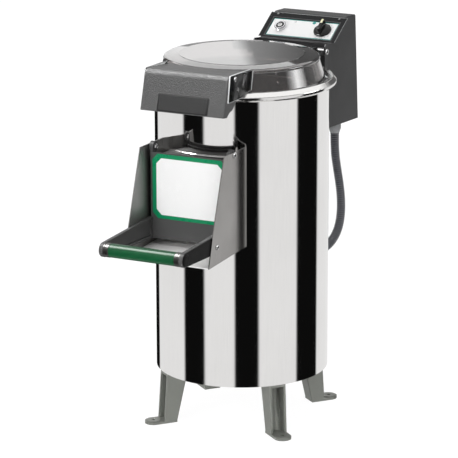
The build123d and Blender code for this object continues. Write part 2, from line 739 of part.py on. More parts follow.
with BuildPart() as handle_ferrules:
    for side in (-1, 1):
        with BuildSketch(Plane.YZ.offset(side * GRIP_HALF)):
            with Locations((HANDLE_Y, HANDLE_Z)):
                Circle(HANDLE_R + 0.5)
                Circle(TUBE_R, mode=Mode.SUBTRACT)
        extrude(amount=side * (ARM_X[0] - GRIP_HALF))
save(handle_ferrules, "handle_ferrules")

# ---------------------------------------------------------------- lid and hood


def draw_lid_outside():
    """Outer line of the lid's half section, from the axis to the foot."""
    Polyline([(0, LID_TOP), (LID_STEP_R, LID_TOP), (LID_STEP_R + 1.2, LID_TOP - LID_STEP), LID_EDGE])
    ThreePointArc(LID_EDGE, (177, 851.4), LID_BEAD)
    Polyline([LID_BEAD, (LID_BEAD[0] - 1.2, LID_BEAD[1] - 2), LID_WALL_TOP, LID_WALL_LOW,
              (LID_FOOT_R, LID_FOOT_Z + 3), (LID_FOOT_R, LID_FOOT_Z)])


with BuildPart() as lid_envelope:
    with BuildSketch(Plane.XZ):
        with BuildLine():
            draw_lid_outside()
            Polyline([(LID_FOOT_R, LID_FOOT_Z), (0, LID_FOOT_Z), (0, LID_TOP)])
        make_face()
    revolve(axis=Axis.Z)

with BuildPart() as lid_shell:
    with BuildSketch(Plane.XZ):
        with BuildLine():
            draw_lid_outside()
            wall_inside = (LID_BEAD[0] - LID_T, LID_BEAD[1] - 1)
            ceiling_edge = (LID_EDGE[0] - 0.4, LID_EDGE[1] - LID_T)
            Polyline([(LID_FOOT_R, LID_FOOT_Z), (LID_WALL_LOW[0] - LID_T, LID_FOOT_Z),
                      (LID_WALL_TOP[0] - LID_T, LID_WALL_TOP[1]), wall_inside])
            ThreePointArc(wall_inside, (173.9, 848.5), ceiling_edge)
            Polyline([ceiling_edge, (LID_STEP_R + 0.8, LID_TOP - LID_STEP - LID_T),
                      (LID_STEP_R - 0.4, LID_TOP - LID_T), (0, LID_TOP - LID_T), (0, LID_TOP)])
        make_face()
    revolve(axis=Axis.Z)
save(lid_shell, "lid_shell")

with BuildPart() as lid_bracket:
    with BuildSketch(Plane.XZ):
        with BuildLine():
            Polyline([(176, BRACKET_Z[0]), (187.4, BRACKET_Z[0]), (181.4, BRACKET_Z[1]),
                      (172, BRACKET_Z[1])], close=True)
        make_face()
    revolve(axis=Axis.Z)
    with Locations((0, CASING_R, sum(BRACKET_Z) / 2)):
        Box(2 * BRACKET_HALF, 140, 60, mode=Mode.INTERSECT)
    for side in (-1, 1):
        with BuildSketch(Plane.YZ.offset(side * BRACKET_X)):
            with Locations((LID_AXIS_Y, LID_AXIS_Z)):
                Circle(BRACKET_EYE_R)
            with Locations((165, 830)):
                Rectangle(4, 22)
            make_hull()
        extrude(amount=side * BRACKET_T)
        with BuildSketch(Plane.YZ.offset(side * BRACKET_X)):
            with Locations((LID_AXIS_Y, LID_AXIS_Z)):
                Circle(BRACKET_EYE_R)
        extrude(amount=side * 4 * BRACKET_T)
        with BuildSketch(Plane.YZ.offset(side * (BRACKET_X - BRACKET_T))):
            with Locations((LID_AXIS_Y, LID_AXIS_Z)):
                Circle(LID_PIN_R + RUN_GAP)
        extrude(amount=side * 40, mode=Mode.SUBTRACT)
    add(lid_envelope.part, mode=Mode.SUBTRACT)
save(lid_bracket, "lid_bracket")

with BuildPart() as lid_pins:
    for side in (-1, 1):
        pin_low = BRACKET_X + 1
        for x_low, length, circle_r in ((pin_low, BOX_X - pin_low, LID_PIN_R), (BOX_X, 3, 7)):
            with BuildSketch(Plane.YZ.offset(side * x_low)):
                with Locations((LID_AXIS_Y, LID_AXIS_Z)):
                    Circle(circle_r)
            extrude(amount=side * length)
save(lid_pins, "lid_pins")

front_lean = atan2(HOOD_FRONT_TOP[0] - HOOD_FRONT_LOW[0], HOOD_FRONT_TOP[1] - HOOD_FRONT_LOW[1])


def hood_front_at(z, outward):
    """A point on the hood's slanted front at a height, moved out of the face by a distance."""
    y = HOOD_FRONT_LOW[0] + (z - HOOD_FRONT_LOW[1]) * tan(front_lean)
    return (y - outward * cos(front_lean), z + outward * sin(front_lean))


with BuildPart() as hood:
    with BuildSketch(Plane.YZ) as hood_outline:
        with BuildLine():
            Polyline([HOOD_FRONT_LOW, HOOD_FRONT_TOP, HOOD_REAR_TOP, (HOOD_REAR_TOP[0], 808), (-200, 808),
                      (-226, 801), (-251, 781), (-264, 778), (-277, 769)], close=True)
        make_face()
        fillet(hood_outline.vertices().sort_by_distance(HOOD_FRONT_TOP)[0], radius=HOOD_BEND_R)
    extrude(amount=HOOD_X, both=True)
    side_edges = hood.faces().filter_by(Axis.X).edges().filter_by(lambda e: e.center().Y < -200)
    fillet(side_edges, radius=SOFT_EDGE)
    with BuildSketch(Plane.YZ) as hood_inside:
        with BuildLine():
            inside_top = hood_front_at(HOOD_TOP - HOOD_T, -HOOD_T)
            inside_rear = HOOD_REAR_TOP[0] + 10
            Polyline([hood_front_at(760, -HOOD_T), inside_top,
                      (inside_rear, HOOD_REAR_TOP[1] - HOOD_T - 0.8), (inside_rear, 760)], close=True)
        make_face()
        fillet(hood_inside.vertices().sort_by_distance(inside_top)[0], radius=HOOD_BEND_R - HOOD_T)
    extrude(amount=HOOD_X - HOOD_T, both=True, mode=Mode.SUBTRACT)
    with BuildSketch(Plane.XY.offset(LID_BEAD[1])):
        Circle(HOOD_CUT_R)
    extrude(amount=HOOD_TOP - LID_BEAD[1], mode=Mode.SUBTRACT)
    add(lid_envelope.part, mode=Mode.SUBTRACT)
save(hood, "hood")

with BuildPart() as grip_pad:
    with BuildSketch(Plane.YZ):
        with BuildLine():
            Polyline([hood_front_at(773, 0), hood_front_at(773, GRIP_T),
                      hood_front_at(GRIP_TOP, GRIP_T), hood_front_at(GRIP_TOP, 0)], close=True)
        make_face()
    extrude(amount=GRIP_X, both=True)
save(grip_pad, "grip_pad")

with BuildPart() as hood_ears:
    for side in (-1, 1):
        with BuildSketch(Plane.YZ.offset(side * HOOD_X)) as ear_outline:
            with BuildLine():
                Polyline([(-266, 861), (-162, 859), (-172, 809), (-186, 808), (-198, 801), (-276, 801)],
                         close=True)
            make_face()
            fillet(ear_outline.vertices(), radius=4)
            with Locations(EAR_SCREW_AT):
                Circle(EAR_SCREW_R, mode=Mode.SUBTRACT)
        extrude(amount=side * EAR_T)
        with BuildSketch(Plane.YZ.offset(side * HOOD_X)):
            with BuildLine():
                Polyline([(-163, 855), (-166, 855), (-174.5, 813), (-171.5, 813)], close=True)
            make_face()
        extrude(amount=side * EAR_FLANGE)
save(hood_ears, "hood_ears")

with BuildPart() as ear_screws:
    for side in (-1, 1):
        for x_low, length, circle_r in ((HOOD_X, EAR_T, EAR_SCREW_R), (HOOD_X + EAR_T, 2, 5.5)):
            with BuildSketch(Plane.YZ.offset(side * x_low)):
                with Locations(EAR_SCREW_AT):
                    Circle(circle_r)
            extrude(amount=side * length)
save(ear_screws, "ear_screws")

# ---------------------------------------------------------------- control box

box_corners = [BOX_LOW_FRONT, BOX_LOW_REAR, BOX_TOP_REAR, BOX_TOP_FRONT, BOX_NOSE, (BOX_FRONT, 838)]
rear_lean = atan2(BOX_LOW_REAR[0] - BOX_TOP_REAR[0], BOX_TOP_REAR[1] - BOX_LOW_REAR[1])
rear_plane = Plane(origin=(0, (BOX_LOW_REAR[0] + BOX_TOP_REAR[0]) / 2,
                           (BOX_LOW_REAR[1] + BOX_TOP_REAR[1]) / 2),
                   x_dir=(1, 0, 0), z_dir=(0, cos(rear_lean), sin(rear_lean)))
panel_screw_places = [(-80.7, 43), (80.7, 43)]
cover_screw_places = [(x, y) for x in (-86, 86) for y in (-112, 0, 112)]
box_gland = CONDUIT_ROUTE[0]

with BuildPart() as control_box:
    with BuildSketch(Plane.YZ) as box_outline:
        with BuildLine():
            Polyline(box_corners, close=True)
        make_face()
        fillet(box_outline.vertices().filter_by_position(Axis.Y, 880, 890), radius=7)
    extrude(amount=BOX_X, both=True)
    fillet(control_box.faces().filter_by(Axis.X).edges(), radius=SOFT_EDGE)
    with BuildSketch(Plane.YZ):
        with BuildLine():
            Polyline(box_corners, close=True)
        make_face()
        offset(amount=-BOX_T, mode=Mode.REPLACE)
    extrude(amount=BOX_X - BOX_T, both=True, mode=Mode.SUBTRACT)
    for side in (-1, 1):
        with BuildSketch(Plane.YZ.offset(side * (BOX_X - BOX_T))) as ear_plate:
            with BuildLine():
                Polyline([(BOX_FRONT, 838), (EAR_FRONT + 4, 840), (EAR_FRONT, 835),
                          (EAR_FRONT, 770), (BOX_FRONT, 752)], close=True)
            make_face()
            with Locations((LID_AXIS_Y, LID_AXIS_Z)):
                Circle(LID_PIN_R, mode=Mode.SUBTRACT)
        extrude(amount=side * BOX_T)
    with BuildSketch(panel_at(-10)):
        Rectangle(2 * PANEL_X + 3, 2 * PANEL_Y + 3.4)
        with Locations(*panel_screw_places):
            Circle(BOX_SCREW_R)
    extrude(amount=12, mode=Mode.SUBTRACT)
    with BuildSketch(rear_plane.offset(-10)):
        Rectangle(164, 212)
        with Locations(*cover_screw_places):
            Circle(BOX_SCREW_R)
    extrude(amount=12, mode=Mode.SUBTRACT)
    with BuildSketch(Plane.XY.offset(610)):
        with Locations(box_gland[:2]):
            Circle(GLAND_SHANK_R)
    extrude(amount=30, mode=Mode.SUBTRACT)
save(control_box, "control_box")

with BuildPart() as back_cover:
    with BuildSketch(rear_plane) as cover_outline:
        Rectangle(2 * BOX_X - 6, 236)
        fillet(cover_outline.vertices(), radius=4)
        with Locations(*cover_screw_places):
            Circle(BOX_SCREW_R, mode=Mode.SUBTRACT)
        with Locations(MAINS_AT):
            Circle(MAINS_SHANK_R, mode=Mode.SUBTRACT)
    extrude(amount=SHEET)
save(back_cover, "back_cover")

panel_depth = -BOX_T
with BuildPart() as panel_plate:
    with BuildSketch(panel_at(panel_depth - 2)):
        Rectangle(2 * PANEL_X + 8, 2 * PANEL_Y + 9)
        with Locations(BUTTON_AT):
            Circle(11, mode=Mode.SUBTRACT)
        with Locations(KNOB_AT):
            Circle(5, mode=Mode.SUBTRACT)
    extrude(amount=2)
save(panel_plate, "panel_plate")

with BuildPart() as panel_label:
    with BuildSketch(panel_at(panel_depth)):
        Rectangle(2 * PANEL_X, 2 * PANEL_Y)
        with Locations(BUTTON_AT):
            Circle(11, mode=Mode.SUBTRACT)
        with Locations(KNOB_AT):
            Circle(5, mode=Mode.SUBTRACT)
    extrude(amount=0.5)
save(panel_label, "panel_label")

with BuildPart() as button_bezel:
    for z_low, z_top, radius in ((-24, panel_depth + 0.5, 11), (panel_depth + 0.5, 5, BEZEL_R)):
        with BuildSketch(panel_at(z_low)):
            with Locations(BUTTON_AT):
                Circle(radius)
        extrude(amount=z_top - z_low)
    with BuildSketch(panel_at(-20)):
        with Locations(BUTTON_AT):
            Circle(BUTTON_R + BODY_GAP)
    extrude(amount=30, mode=Mode.SUBTRACT)
save(button_bezel, "button_bezel")

with BuildPart() as push_button:
    with BuildSketch(panel_at(-14)):
        with Locations(BUTTON_AT):
            Circle(BUTTON_R)
    extrude(amount=20.5)
save(push_button, "push_button")

with BuildPart() as timer_knob:
    with BuildSketch(panel_at(panel_depth + 0.5 + BODY_GAP)):
        with Locations(KNOB_AT):
            Circle(KNOB_R)
    extrude(amount=6)
    with BuildSketch(panel_at(panel_depth + 6.5)):
        with Locations(KNOB_AT):
            Circle(KNOB_R - 4)
    extrude(amount=3)
    with BuildSketch(panel_at(panel_depth + 9)) as grip_bar:
        with Locations(KNOB_AT):
            SlotOverall(36, 12, rotation=90)
    extrude(amount=15)
    with BuildSketch(panel_at(-25)):
        with Locations(KNOB_AT):
            Circle(SPINDLE_R)
    extrude(amount=25 + panel_depth + 1)
save(timer_knob, "timer_knob")

with BuildPart() as timer_body:
    with BuildSketch(panel_at(-42)):
        with Locations(KNOB_AT):
            Rectangle(46, 46)
    extrude(amount=42 + panel_depth - 2)
    with BuildSketch(panel_at(-28)):
        with Locations(KNOB_AT):
            Circle(SPINDLE_R + RUN_GAP)
    extrude(amount=30, mode=Mode.SUBTRACT)
save(timer_body, "timer_body")

box_wall = BOX_FRONT + BOX_T
with BuildPart() as contactor:
    with Locations((CONTACTOR_AT[0], box_wall + CONTACTOR_DEPTH / 2, CONTACTOR_AT[1])):
        Box(46, CONTACTOR_DEPTH, 72)
    with Locations((CONTACTOR_AT[0], box_wall + CONTACTOR_DEPTH + 4, CONTACTOR_AT[1])):
        Box(36, 8, 46)
save(contactor, "contactor")

with BuildPart() as terminal_block:
    with Locations((TERMINALS_AT[0], box_wall + TERMINAL_DEPTH / 2, TERMINALS_AT[1])):
        Box(72, TERMINAL_DEPTH, 22)
    with BuildSketch(Plane.XZ.offset(-box_wall - TERMINAL_DEPTH)):
        with Locations(TERMINALS_AT):
            with GridLocations(11, 0, 6, 1):
                Circle(3.2)
    extrude(amount=10, mode=Mode.SUBTRACT)
save(terminal_block, "terminal_block")

with BuildPart() as lid_sensor:
    with Locations((BOX_X - BOX_T - 7, box_wall + 10, 812)):
        Box(14, 20, 34)
save(lid_sensor, "lid_sensor")

with BuildPart() as box_screws:
    for plane, places in ((panel_plane, panel_screw_places), (rear_plane.offset(SHEET), cover_screw_places)):
        with BuildSketch(plane):
            with Locations(*places):
                Circle(BOX_SCREW_HEAD_R)
        extrude(amount=1.8)
        with BuildSketch(plane):
            with Locations(*places):
                Circle(BOX_SCREW_R)
        extrude(amount=-3.4)
save(box_screws, "box_screws")

with BuildPart() as box_brackets:
    for side in (-1, 1):
        with BuildSketch(Plane.XY.offset(650)):
            with Locations((side * 50, (180 + BOX_FRONT) / 2)):
                Rectangle(4, BOX_FRONT - 180)
            with Locations((side * 50, BOX_FRONT - 2)):
                Rectangle(30, 4)
            with Locations((side * 50, CASING_R - 7)):
                Rectangle(30, 12)
        extrude(amount=120)
    add(casing_solid.part, mode=Mode.SUBTRACT)
save(box_brackets, "box_brackets")

# ---------------------------------------------------------------- glands and conduit

with BuildPart() as cable_glands:
    for z_low, z_top, radius in ((box_gland[2], GLAND_TOP, GLAND_R), (GLAND_TOP, GLAND_TOP + 12, GLAND_SHANK_R)):
        with BuildSketch(Plane.XY.offset(z_low)):
            with Locations(box_gland[:2]):
                Circle(radius)
        extrude(amount=z_top - z_low)
    chamfer(cable_glands.edges().group_by(Axis.Z)[0], length=3)
    for low, top, radius in ((SHEET, SHEET + MAINS_OUT, MAINS_R), (-MAINS_IN, SHEET, MAINS_SHANK_R),
                             (-MAINS_IN / 2, 0, MAINS_R)):
        with BuildSketch(rear_plane.offset(low)):
            with Locations(MAINS_AT):
                Circle(radius)
        extrude(amount=top - low)
    with BuildSketch(rear_plane.offset(-MAINS_IN - 1)):
        with Locations(MAINS_AT):
            Circle(MAINS_BORE_R)
    extrude(amount=MAINS_IN + MAINS_OUT + 4, mode=Mode.SUBTRACT)
    gland_reach = sqrt(gland_x ** 2 + gland_y ** 2)
    for r_low, r_top, radius in ((CASING_R, gland_reach, GLAND_R), (CASING_R - 12, CASING_R, CONDUIT_R)):
        with BuildSketch(gland_plane.offset(r_low)):
            Circle(radius)
        extrude(amount=r_top - r_low)
save(cable_glands, "cable_glands")


def corner_radii(points):
    """The arc at each corner of a route, as large as its two runs allow."""
    radii = []
    for before, at, after in zip(points, points[1:], points[2:]):
        run_in, run_out = Vector(at) - Vector(before), Vector(after) - Vector(at)
        half_turn = radians(run_in.get_angle(run_out)) / 2
        radii.append(0.45 * min(run_in.length, run_out.length) / tan(half_turn))
    return radii


conduit_radii = corner_radii(CONDUIT_ROUTE)
first_run = Vector(CONDUIT_ROUTE[1]) - Vector(CONDUIT_ROUTE[0])
with BuildPart() as conduit:
    with BuildLine() as conduit_path:
        FilletPolyline(CONDUIT_ROUTE, radius=conduit_radii)
    with BuildSketch(Plane(origin=CONDUIT_ROUTE[0], z_dir=first_run)):
        Circle(CONDUIT_R)
    sweep()
save(conduit, "conduit")

conduit_length = conduit_path.wires()[0].length
print("conduit corner radii", [round(r) for r in conduit_radii])
print("conduit length", round(conduit_length, 1))
print("conduit volume ratio", round(conduit.part.volume / (pi * CONDUIT_R ** 2 * conduit_length), 4))
print("drain spigot from y", round(drain_start + 25, 2))
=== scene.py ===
"""Looks of an upright electric potato peeler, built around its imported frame. Metres, +Z up, front towards -Y."""

import json
import logging
from collections.abc import Callable, Iterable, Sequence
from dataclasses import dataclass
from enum import Enum
from math import cos, radians, sin, sqrt, tau

import bmesh
import bpy
from mathutils import Matrix, Vector


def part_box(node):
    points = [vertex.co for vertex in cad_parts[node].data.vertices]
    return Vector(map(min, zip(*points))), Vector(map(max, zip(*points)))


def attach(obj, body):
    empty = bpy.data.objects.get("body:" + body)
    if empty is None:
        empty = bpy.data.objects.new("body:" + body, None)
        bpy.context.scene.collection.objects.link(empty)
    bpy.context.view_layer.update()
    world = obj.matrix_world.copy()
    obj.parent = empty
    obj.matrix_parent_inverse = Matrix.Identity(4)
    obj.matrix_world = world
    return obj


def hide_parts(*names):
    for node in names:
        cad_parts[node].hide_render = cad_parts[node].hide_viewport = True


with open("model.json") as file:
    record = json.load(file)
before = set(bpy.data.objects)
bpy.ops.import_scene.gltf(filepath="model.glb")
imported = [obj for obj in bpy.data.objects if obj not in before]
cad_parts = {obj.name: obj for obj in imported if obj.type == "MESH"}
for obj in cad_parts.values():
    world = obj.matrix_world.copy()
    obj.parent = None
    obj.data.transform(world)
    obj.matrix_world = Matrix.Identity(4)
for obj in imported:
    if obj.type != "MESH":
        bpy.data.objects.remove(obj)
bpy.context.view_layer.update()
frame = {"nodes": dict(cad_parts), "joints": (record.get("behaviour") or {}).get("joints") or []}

log = logging.getLogger("peeler")
Triple = tuple[float, float, float]
Point2 = tuple[float, float]
Socket = bpy.types.NodeSocket
MM = 0.001
MICRON = 0.000001
SMOOTH_ANGLE = radians(32)
PROUD = 0.05 * MM      # how far a print stands proud of what carries it
SIDES = (-1, 1)


class Body(Enum):
    """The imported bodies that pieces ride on."""

    MACHINE = "machine"
    DOOR = "door"
    LID = "lid"
    TIMER = "timer"
    BUTTON = "button"


# ---------------------------------------------------------------- node trees

def opaque(colour: Triple | float) -> tuple[float, ...]:
    """A colour with a full alpha; a single number is a grey."""
    return (*colour, 1.0) if isinstance(colour, tuple) else (colour, colour, colour, 1.0)


class Graph:
    """A node tree under construction."""

    def __init__(self, tree: bpy.types.NodeTree) -> None:
        """Takes the tree that gets the nodes."""
        self.tree = tree

    def fill(self, node: bpy.types.Node, inputs: dict) -> bpy.types.Node:
        """Gives a node's inputs, by name or number, these values or output sockets."""
        for key, value in inputs.items():
            if isinstance(value, Socket):
                self.tree.links.new(value, node.inputs[key])
            else:
                node.inputs[key].default_value = value
        return node

    def put(self, kind: str, inputs: dict | None = None, **settings) -> bpy.types.Node:
        """Adds a node.

        Args:
            kind: The node's Blender type, without its first word ShaderNode.
            inputs: Values or output sockets, by input name or number.
            settings: The node's own settings.

        Returns:
            The new node.
        """
        node = self.tree.nodes.new(f"ShaderNode{kind}")
        for name, value in settings.items():
            setattr(node, name, value)
        return self.fill(node, inputs or {})

    def math(self, operation: str, *values) -> Socket:
        """The output of a Math node with these values or sockets."""
        return self.put("Math", dict(enumerate(values)), operation=operation).outputs[0]

    def times(self, first: Socket, second: Socket | float) -> Socket:
        """The product of two values."""
        return self.math("MULTIPLY", first, second)

    def between(self, value: Socket, low: float, high: float, start: float | Socket = 0.0,
                end: float | Socket = 1.0) -> Socket:
        """A value that goes from start to end as another goes from low to high, clamped."""
        return self.put("MapRange", {"Value": value, "From Min": low, "From Max": high, "To Min": start,
                                     "To Max": end}).outputs[0]

    def mix(self, share: Socket, first: Socket, second: Socket | tuple) -> Socket:
        """A colour between two others; the share is how much there is of the second."""
        return self.put("Mix", {0: share, 6: first, 7: second}, data_type="RGBA").outputs[2]

    def blend(self, share: Socket, first: Socket, second: Socket) -> Socket:
        """A number between two others; the share is how much there is of the second."""
        return self.put("Mix", {0: share, 2: first, 3: second}).outputs[0]

    def ramp(self, value: Socket, stops: Sequence[Point2]) -> Socket:
        """A grey ramp over a value, with the position and the grey of each stop, in order."""
        node = self.put("ValToRGB", {0: value})
        elements = node.color_ramp.elements
        while len(elements) < len(stops):
            elements.new(0.5)
        for element, (position, level) in zip(elements, stops):
            element.position, element.color = position, opaque(level)
        return node.outputs[0]

    def straight_on(self) -> Socket:
        """1 where the camera looks, directly or through something clear."""
        rays = self.put("LightPath").outputs
        return self.math("MAXIMUM", rays["Is Camera Ray"], rays["Is Transmission Ray"])


def new_group(name: str, inputs: dict[str, object], outputs: dict[str, str]) -> tuple:
    """A shader node group with named sockets.

    Args:
        name: The group's name.
        inputs: Default value of each input: a number, a colour of four numbers or a vector of three.
        outputs: Socket type of each output, without its first word NodeSocket.

    Returns:
        The group's graph, the sockets of its inputs and its output node.
    """
    tree = bpy.data.node_groups.new(name, "ShaderNodeTree")
    for label, value in inputs.items():
        kind = {1: "Float", 3: "Vector", 4: "Color"}[len(value) if isinstance(value, tuple) else 1]
        tree.interface.new_socket(label, in_out="INPUT", socket_type=f"NodeSocket{kind}").default_value = value
    for label, kind in outputs.items():
        tree.interface.new_socket(label, in_out="OUTPUT", socket_type=f"NodeSocket{kind}")
    return Graph(tree), tree.nodes.new("NodeGroupInput").outputs, tree.nodes.new("NodeGroupOutput")


def make_surface_group() -> bpy.types.NodeTree:
    """The marks that every finish shares: two clouded colours, an uneven shine and a fine relief."""
    graph, given, made = new_group(
        "surface_marks",
        {"Vector": (0.0, 0.0, 0.0), "Stretch": (1.0, 1.0, 1.0), "Cloud Scale": 12.0, "Grain Scale": 900.0,
         "Colour": (0.5, 0.5, 0.5, 1.0), "Cloud Colour": (0.5, 0.5, 0.5, 1.0), "Rough Low": 0.3,
         "Rough High": 0.5, "Relief": 0.0001},
        {"Colour": "Color", "Roughness": "Float", "Normal": "Vector"})
    grain_share = 0.45
    cloud = graph.put("TexNoise", {"Vector": given["Vector"], "Scale": given["Cloud Scale"], "Detail": 4.0})
    stretched = graph.put("VectorMath", {0: given["Vector"], 1: given["Stretch"]}, operation="MULTIPLY")
    grain = graph.put("TexNoise", {"Vector": stretched.outputs[0], "Scale": given["Grain Scale"], "Detail": 3.0})
    clouded = graph.times(graph.between(cloud.outputs["Fac"], 0.32, 0.68), 1 - grain_share)
    both = graph.math("MULTIPLY_ADD", graph.between(grain.outputs["Fac"], 0.3, 0.7), grain_share, clouded)
    relief = graph.put("Bump", {"Height": grain.outputs["Fac"], "Distance": given["Relief"], "Strength": 1.0})
    graph.fill(made, {"Colour": graph.mix(both, given["Colour"], given["Cloud Colour"]),
                      "Roughness": graph.between(both, 0.0, 1.0, given["Rough Low"], given["Rough High"]),
                      "Normal": relief.outputs[0]})
    return graph.tree


def make_dots_group() -> bpy.types.NodeTree:
    """Small raised points set in cells, as on grit, knurling and cast skin."""
    graph, given, made = new_group(
        "raised_points", {"Vector": (0.0, 0.0, 0.0), "Scale": 500.0, "Relief": 0.0005, "Normal": (0.0, 0.0, 0.0)},
        {"Mask": "Float", "Normal": "Vector"})
    cells = graph.put("TexVoronoi", {"Vector": given["Vector"], "Scale": given["Scale"]})
    height = graph.between(cells.outputs["Distance"], 0.1, 0.7, 1.0, 0.0)
    bump = graph.put("Bump", {"Height": height, "Distance": given["Relief"], "Normal": given["Normal"]})
    graph.fill(made, {"Mask": height, "Normal": bump.outputs[0]})
    return graph.tree


SURFACE_GROUP = make_surface_group()
DOTS_GROUP = make_dots_group()


# ---------------------------------------------------------------- finishes

@dataclass(frozen=True)
class Finish:
    """A surface finish: its colours, how it shines and the small marks on it. A colour of one number is a grey.

    Attributes:
        name: The finish's name.
        slot: The record's material slot that it belongs to; not used.
        colour: Main linear colour.
        cloud: Second colour, which the first one clouds into.
        roughness: Lowest and highest roughness.
        metallic: 1 on bare metal.
        clouds: Clouds a metre.
        grains: Grains a metre.
        stretch: How the grain is drawn out along each axis; a small number is a long grain.
        relief: Height of the grain in microns.
        specular: How strongly a surface that isn't metal mirrors; 0.5 is plain.
        coat: Weight and roughness of a clear coat.
        settings: Plain values of the shader's other sockets.
        dots: Raised points, where it has them: how many a metre, and their height in microns.
        dot_colour: Colour on top of the points.
    """

    name: str
    slot: str
    colour: Triple | float
    cloud: Triple | float
    roughness: Point2
    metallic: float = 0.0
    clouds: float = 9.0
    grains: float = 900.0
    stretch: Triple = (1.0, 1.0, 1.0)
    relief: float = 20.0
    specular: float = 0.5
    coat: Point2 = (0.0, 0.03)
    settings: tuple[tuple[str, float], ...] = ()
    dots: Point2 | None = None
    dot_colour: Triple | None = None

    def build(self) -> bpy.types.Material:
        """Makes the material once and gives the same one back after that."""
        name = f"finish_{self.name}"
        known = bpy.data.materials.get(name)
        if known:
            return known
        material = bpy.data.materials.new(name)
        material.use_nodes = True
        graph = Graph(material.node_tree)
        place = graph.put("TexCoord").outputs["Object"]
        marks = graph.put("Group", node_tree=SURFACE_GROUP)
        graph.fill(marks, {
            "Vector": place, "Stretch": self.stretch, "Cloud Scale": self.clouds, "Grain Scale": self.grains,
            "Colour": opaque(self.colour), "Cloud Colour": opaque(self.cloud), "Rough Low": self.roughness[0],
            "Rough High": self.roughness[1], "Relief": self.relief * MICRON})
        colour, normal = marks.outputs["Colour"], marks.outputs["Normal"]
        if self.dots:
            scale, height = self.dots
            points = graph.put("Group", node_tree=DOTS_GROUP)
            graph.fill(points, {"Vector": place, "Normal": normal, "Scale": scale, "Relief": height * MICRON})
            normal = points.outputs["Normal"]
            if self.dot_colour:
                colour = graph.mix(points.outputs["Mask"], colour, opaque(self.dot_colour))
        graph.fill(graph.tree.nodes["Principled BSDF"], {
            "Metallic": self.metallic, "Specular IOR Level": self.specular, "Coat Weight": self.coat[0],
            "Coat Roughness": self.coat[1], **dict(self.settings), "Base Color": colour,
            "Roughness": marks.outputs["Roughness"], "Normal": normal})
        return material


UPRIGHT = (1.0, 1.0, 0.02)
ACROSS = (0.02, 1.0, 1.0)


def brushed(name: str, colour: Triple, cloud: Triple, roughness: Point2, relief: float, stretch: Triple = UPRIGHT,
            metallic: float = 1.0) -> Finish:
    """Rolled sheet steel with a long fine grain."""
    return Finish(name, "brushed_steel", colour, cloud, roughness, metallic, grains=1400, stretch=stretch,
                  relief=relief)


def ink(name: str, colour: Triple, cloud: Triple, roughness: Point2 = (0.25, 0.32)) -> Finish:
    """A printed colour on a label."""
    return Finish(name, "label_white", colour, cloud, roughness, clouds=40, relief=3)


MIRROR_STEEL = Finish("mirror_steel", "mirror_steel", (0.90, 0.89, 0.88), (0.84, 0.83, 0.82), (0.035, 0.085), 1.0,
                      clouds=5, grains=700, stretch=UPRIGHT, relief=4)
POLISHED_STEEL = Finish("polished_steel", "mirror_steel", (0.86, 0.85, 0.84), (0.80, 0.79, 0.78), (0.08, 0.14), 1.0,
                        clouds=14, relief=4)
BRUSHED_STEEL = brushed("brushed_steel", (0.50, 0.49, 0.48), (0.43, 0.42, 0.41), (0.18, 0.27), 12)
CHEEK_STEEL = brushed("cheek_steel", (0.36, 0.35, 0.34), (0.29, 0.28, 0.27), (0.10, 0.16), 6)
WORN_STEEL = brushed("worn_steel", (0.34, 0.335, 0.33), (0.29, 0.285, 0.28), (0.40, 0.50), 12)
FERRULE_STEEL = brushed("ferrule_steel", (0.110, 0.108, 0.106), (0.080, 0.078, 0.076), (0.26, 0.36), 6, ACROSS)
SATIN_SHEET = brushed("satin_sheet", (0.94, 0.93, 0.92), (0.88, 0.87, 0.86), (0.22, 0.30), 6, ACROSS, 0.0)
PLAIN_STEEL = Finish("plain_steel", "plain_steel", (0.55, 0.55, 0.56), (0.47, 0.47, 0.49), (0.28, 0.42), 1.0)
BRIGHT_SCREW = Finish("bright_screw", "plain_steel", 0.78, 0.70, (0.14, 0.22), 1.0)
BLACK_OXIDE = Finish("black_oxide", "plain_steel", 0.10, 0.07, (0.30, 0.40), 1.0)
WELD = Finish("weld", "brushed_steel", (0.42, 0.40, 0.38), (0.30, 0.28, 0.27), (0.25, 0.45), 1.0, relief=50)
SATIN_CHROME = Finish("satin_chrome", "chrome_trim", (0.78, 0.78, 0.79), (0.70, 0.70, 0.72), (0.05, 0.10), 1.0)
BRASS = Finish("brass", "brass", (0.60, 0.43, 0.18), (0.50, 0.35, 0.14), (0.22, 0.36), 1.0)
CAST_PAINT = Finish("cast_paint", "cast_legs", (0.240, 0.248, 0.225), (0.205, 0.212, 0.192), (0.34, 0.44), 0.45,
                    grains=600, relief=40, dots=(420, 40))
CAST_IRON = Finish("cast_iron", "cast_iron", (0.16, 0.16, 0.17), (0.11, 0.10, 0.10), (0.5, 0.7), 0.8, relief=80,
                   dots=(350, 100))
MOTOR_PAINT = Finish("motor_paint", "motor_aluminium", (0.16, 0.19, 0.22), (0.13, 0.16, 0.19), (0.32, 0.45), relief=30)
GRIT = Finish("grit", "abrasive", (0.035, 0.032, 0.030), (0.060, 0.052, 0.046), (0.55, 0.9), grains=1500, relief=200,
              dots=(520, 800), dot_colour=(0.14, 0.12, 0.105))
DISC_GRIT = Finish("disc_grit", "disc_casting", (0.055, 0.050, 0.046), (0.085, 0.075, 0.066), (0.5, 0.85),
                   grains=1200, relief=200, dots=(430, 900), dot_colour=(0.20, 0.175, 0.15))
RUBBER = Finish("rubber", "black_rubber", 0.022, (0.034, 0.033, 0.032), (0.55, 0.75), relief=30)
# One rubber in two tones: the pad darkened as painted shade round the points, the points' tops lightened as painted
# highlight.
GRIP_PAD = Finish("grip_pad", "black_rubber", 0.016, 0.012, (0.42, 0.55), relief=30, specular=0.3)
GRIP_TIP_HIGHLIGHT = Finish("grip_tip_highlight", "black_rubber", 0.070, 0.058, (0.35, 0.45), specular=0.3)
DARK_MOULDING = Finish("dark_moulding", "dark_moulding", 0.084, 0.070, (0.34, 0.44), grains=1500, relief=50,
                       specular=0.15, dots=(900, 60))
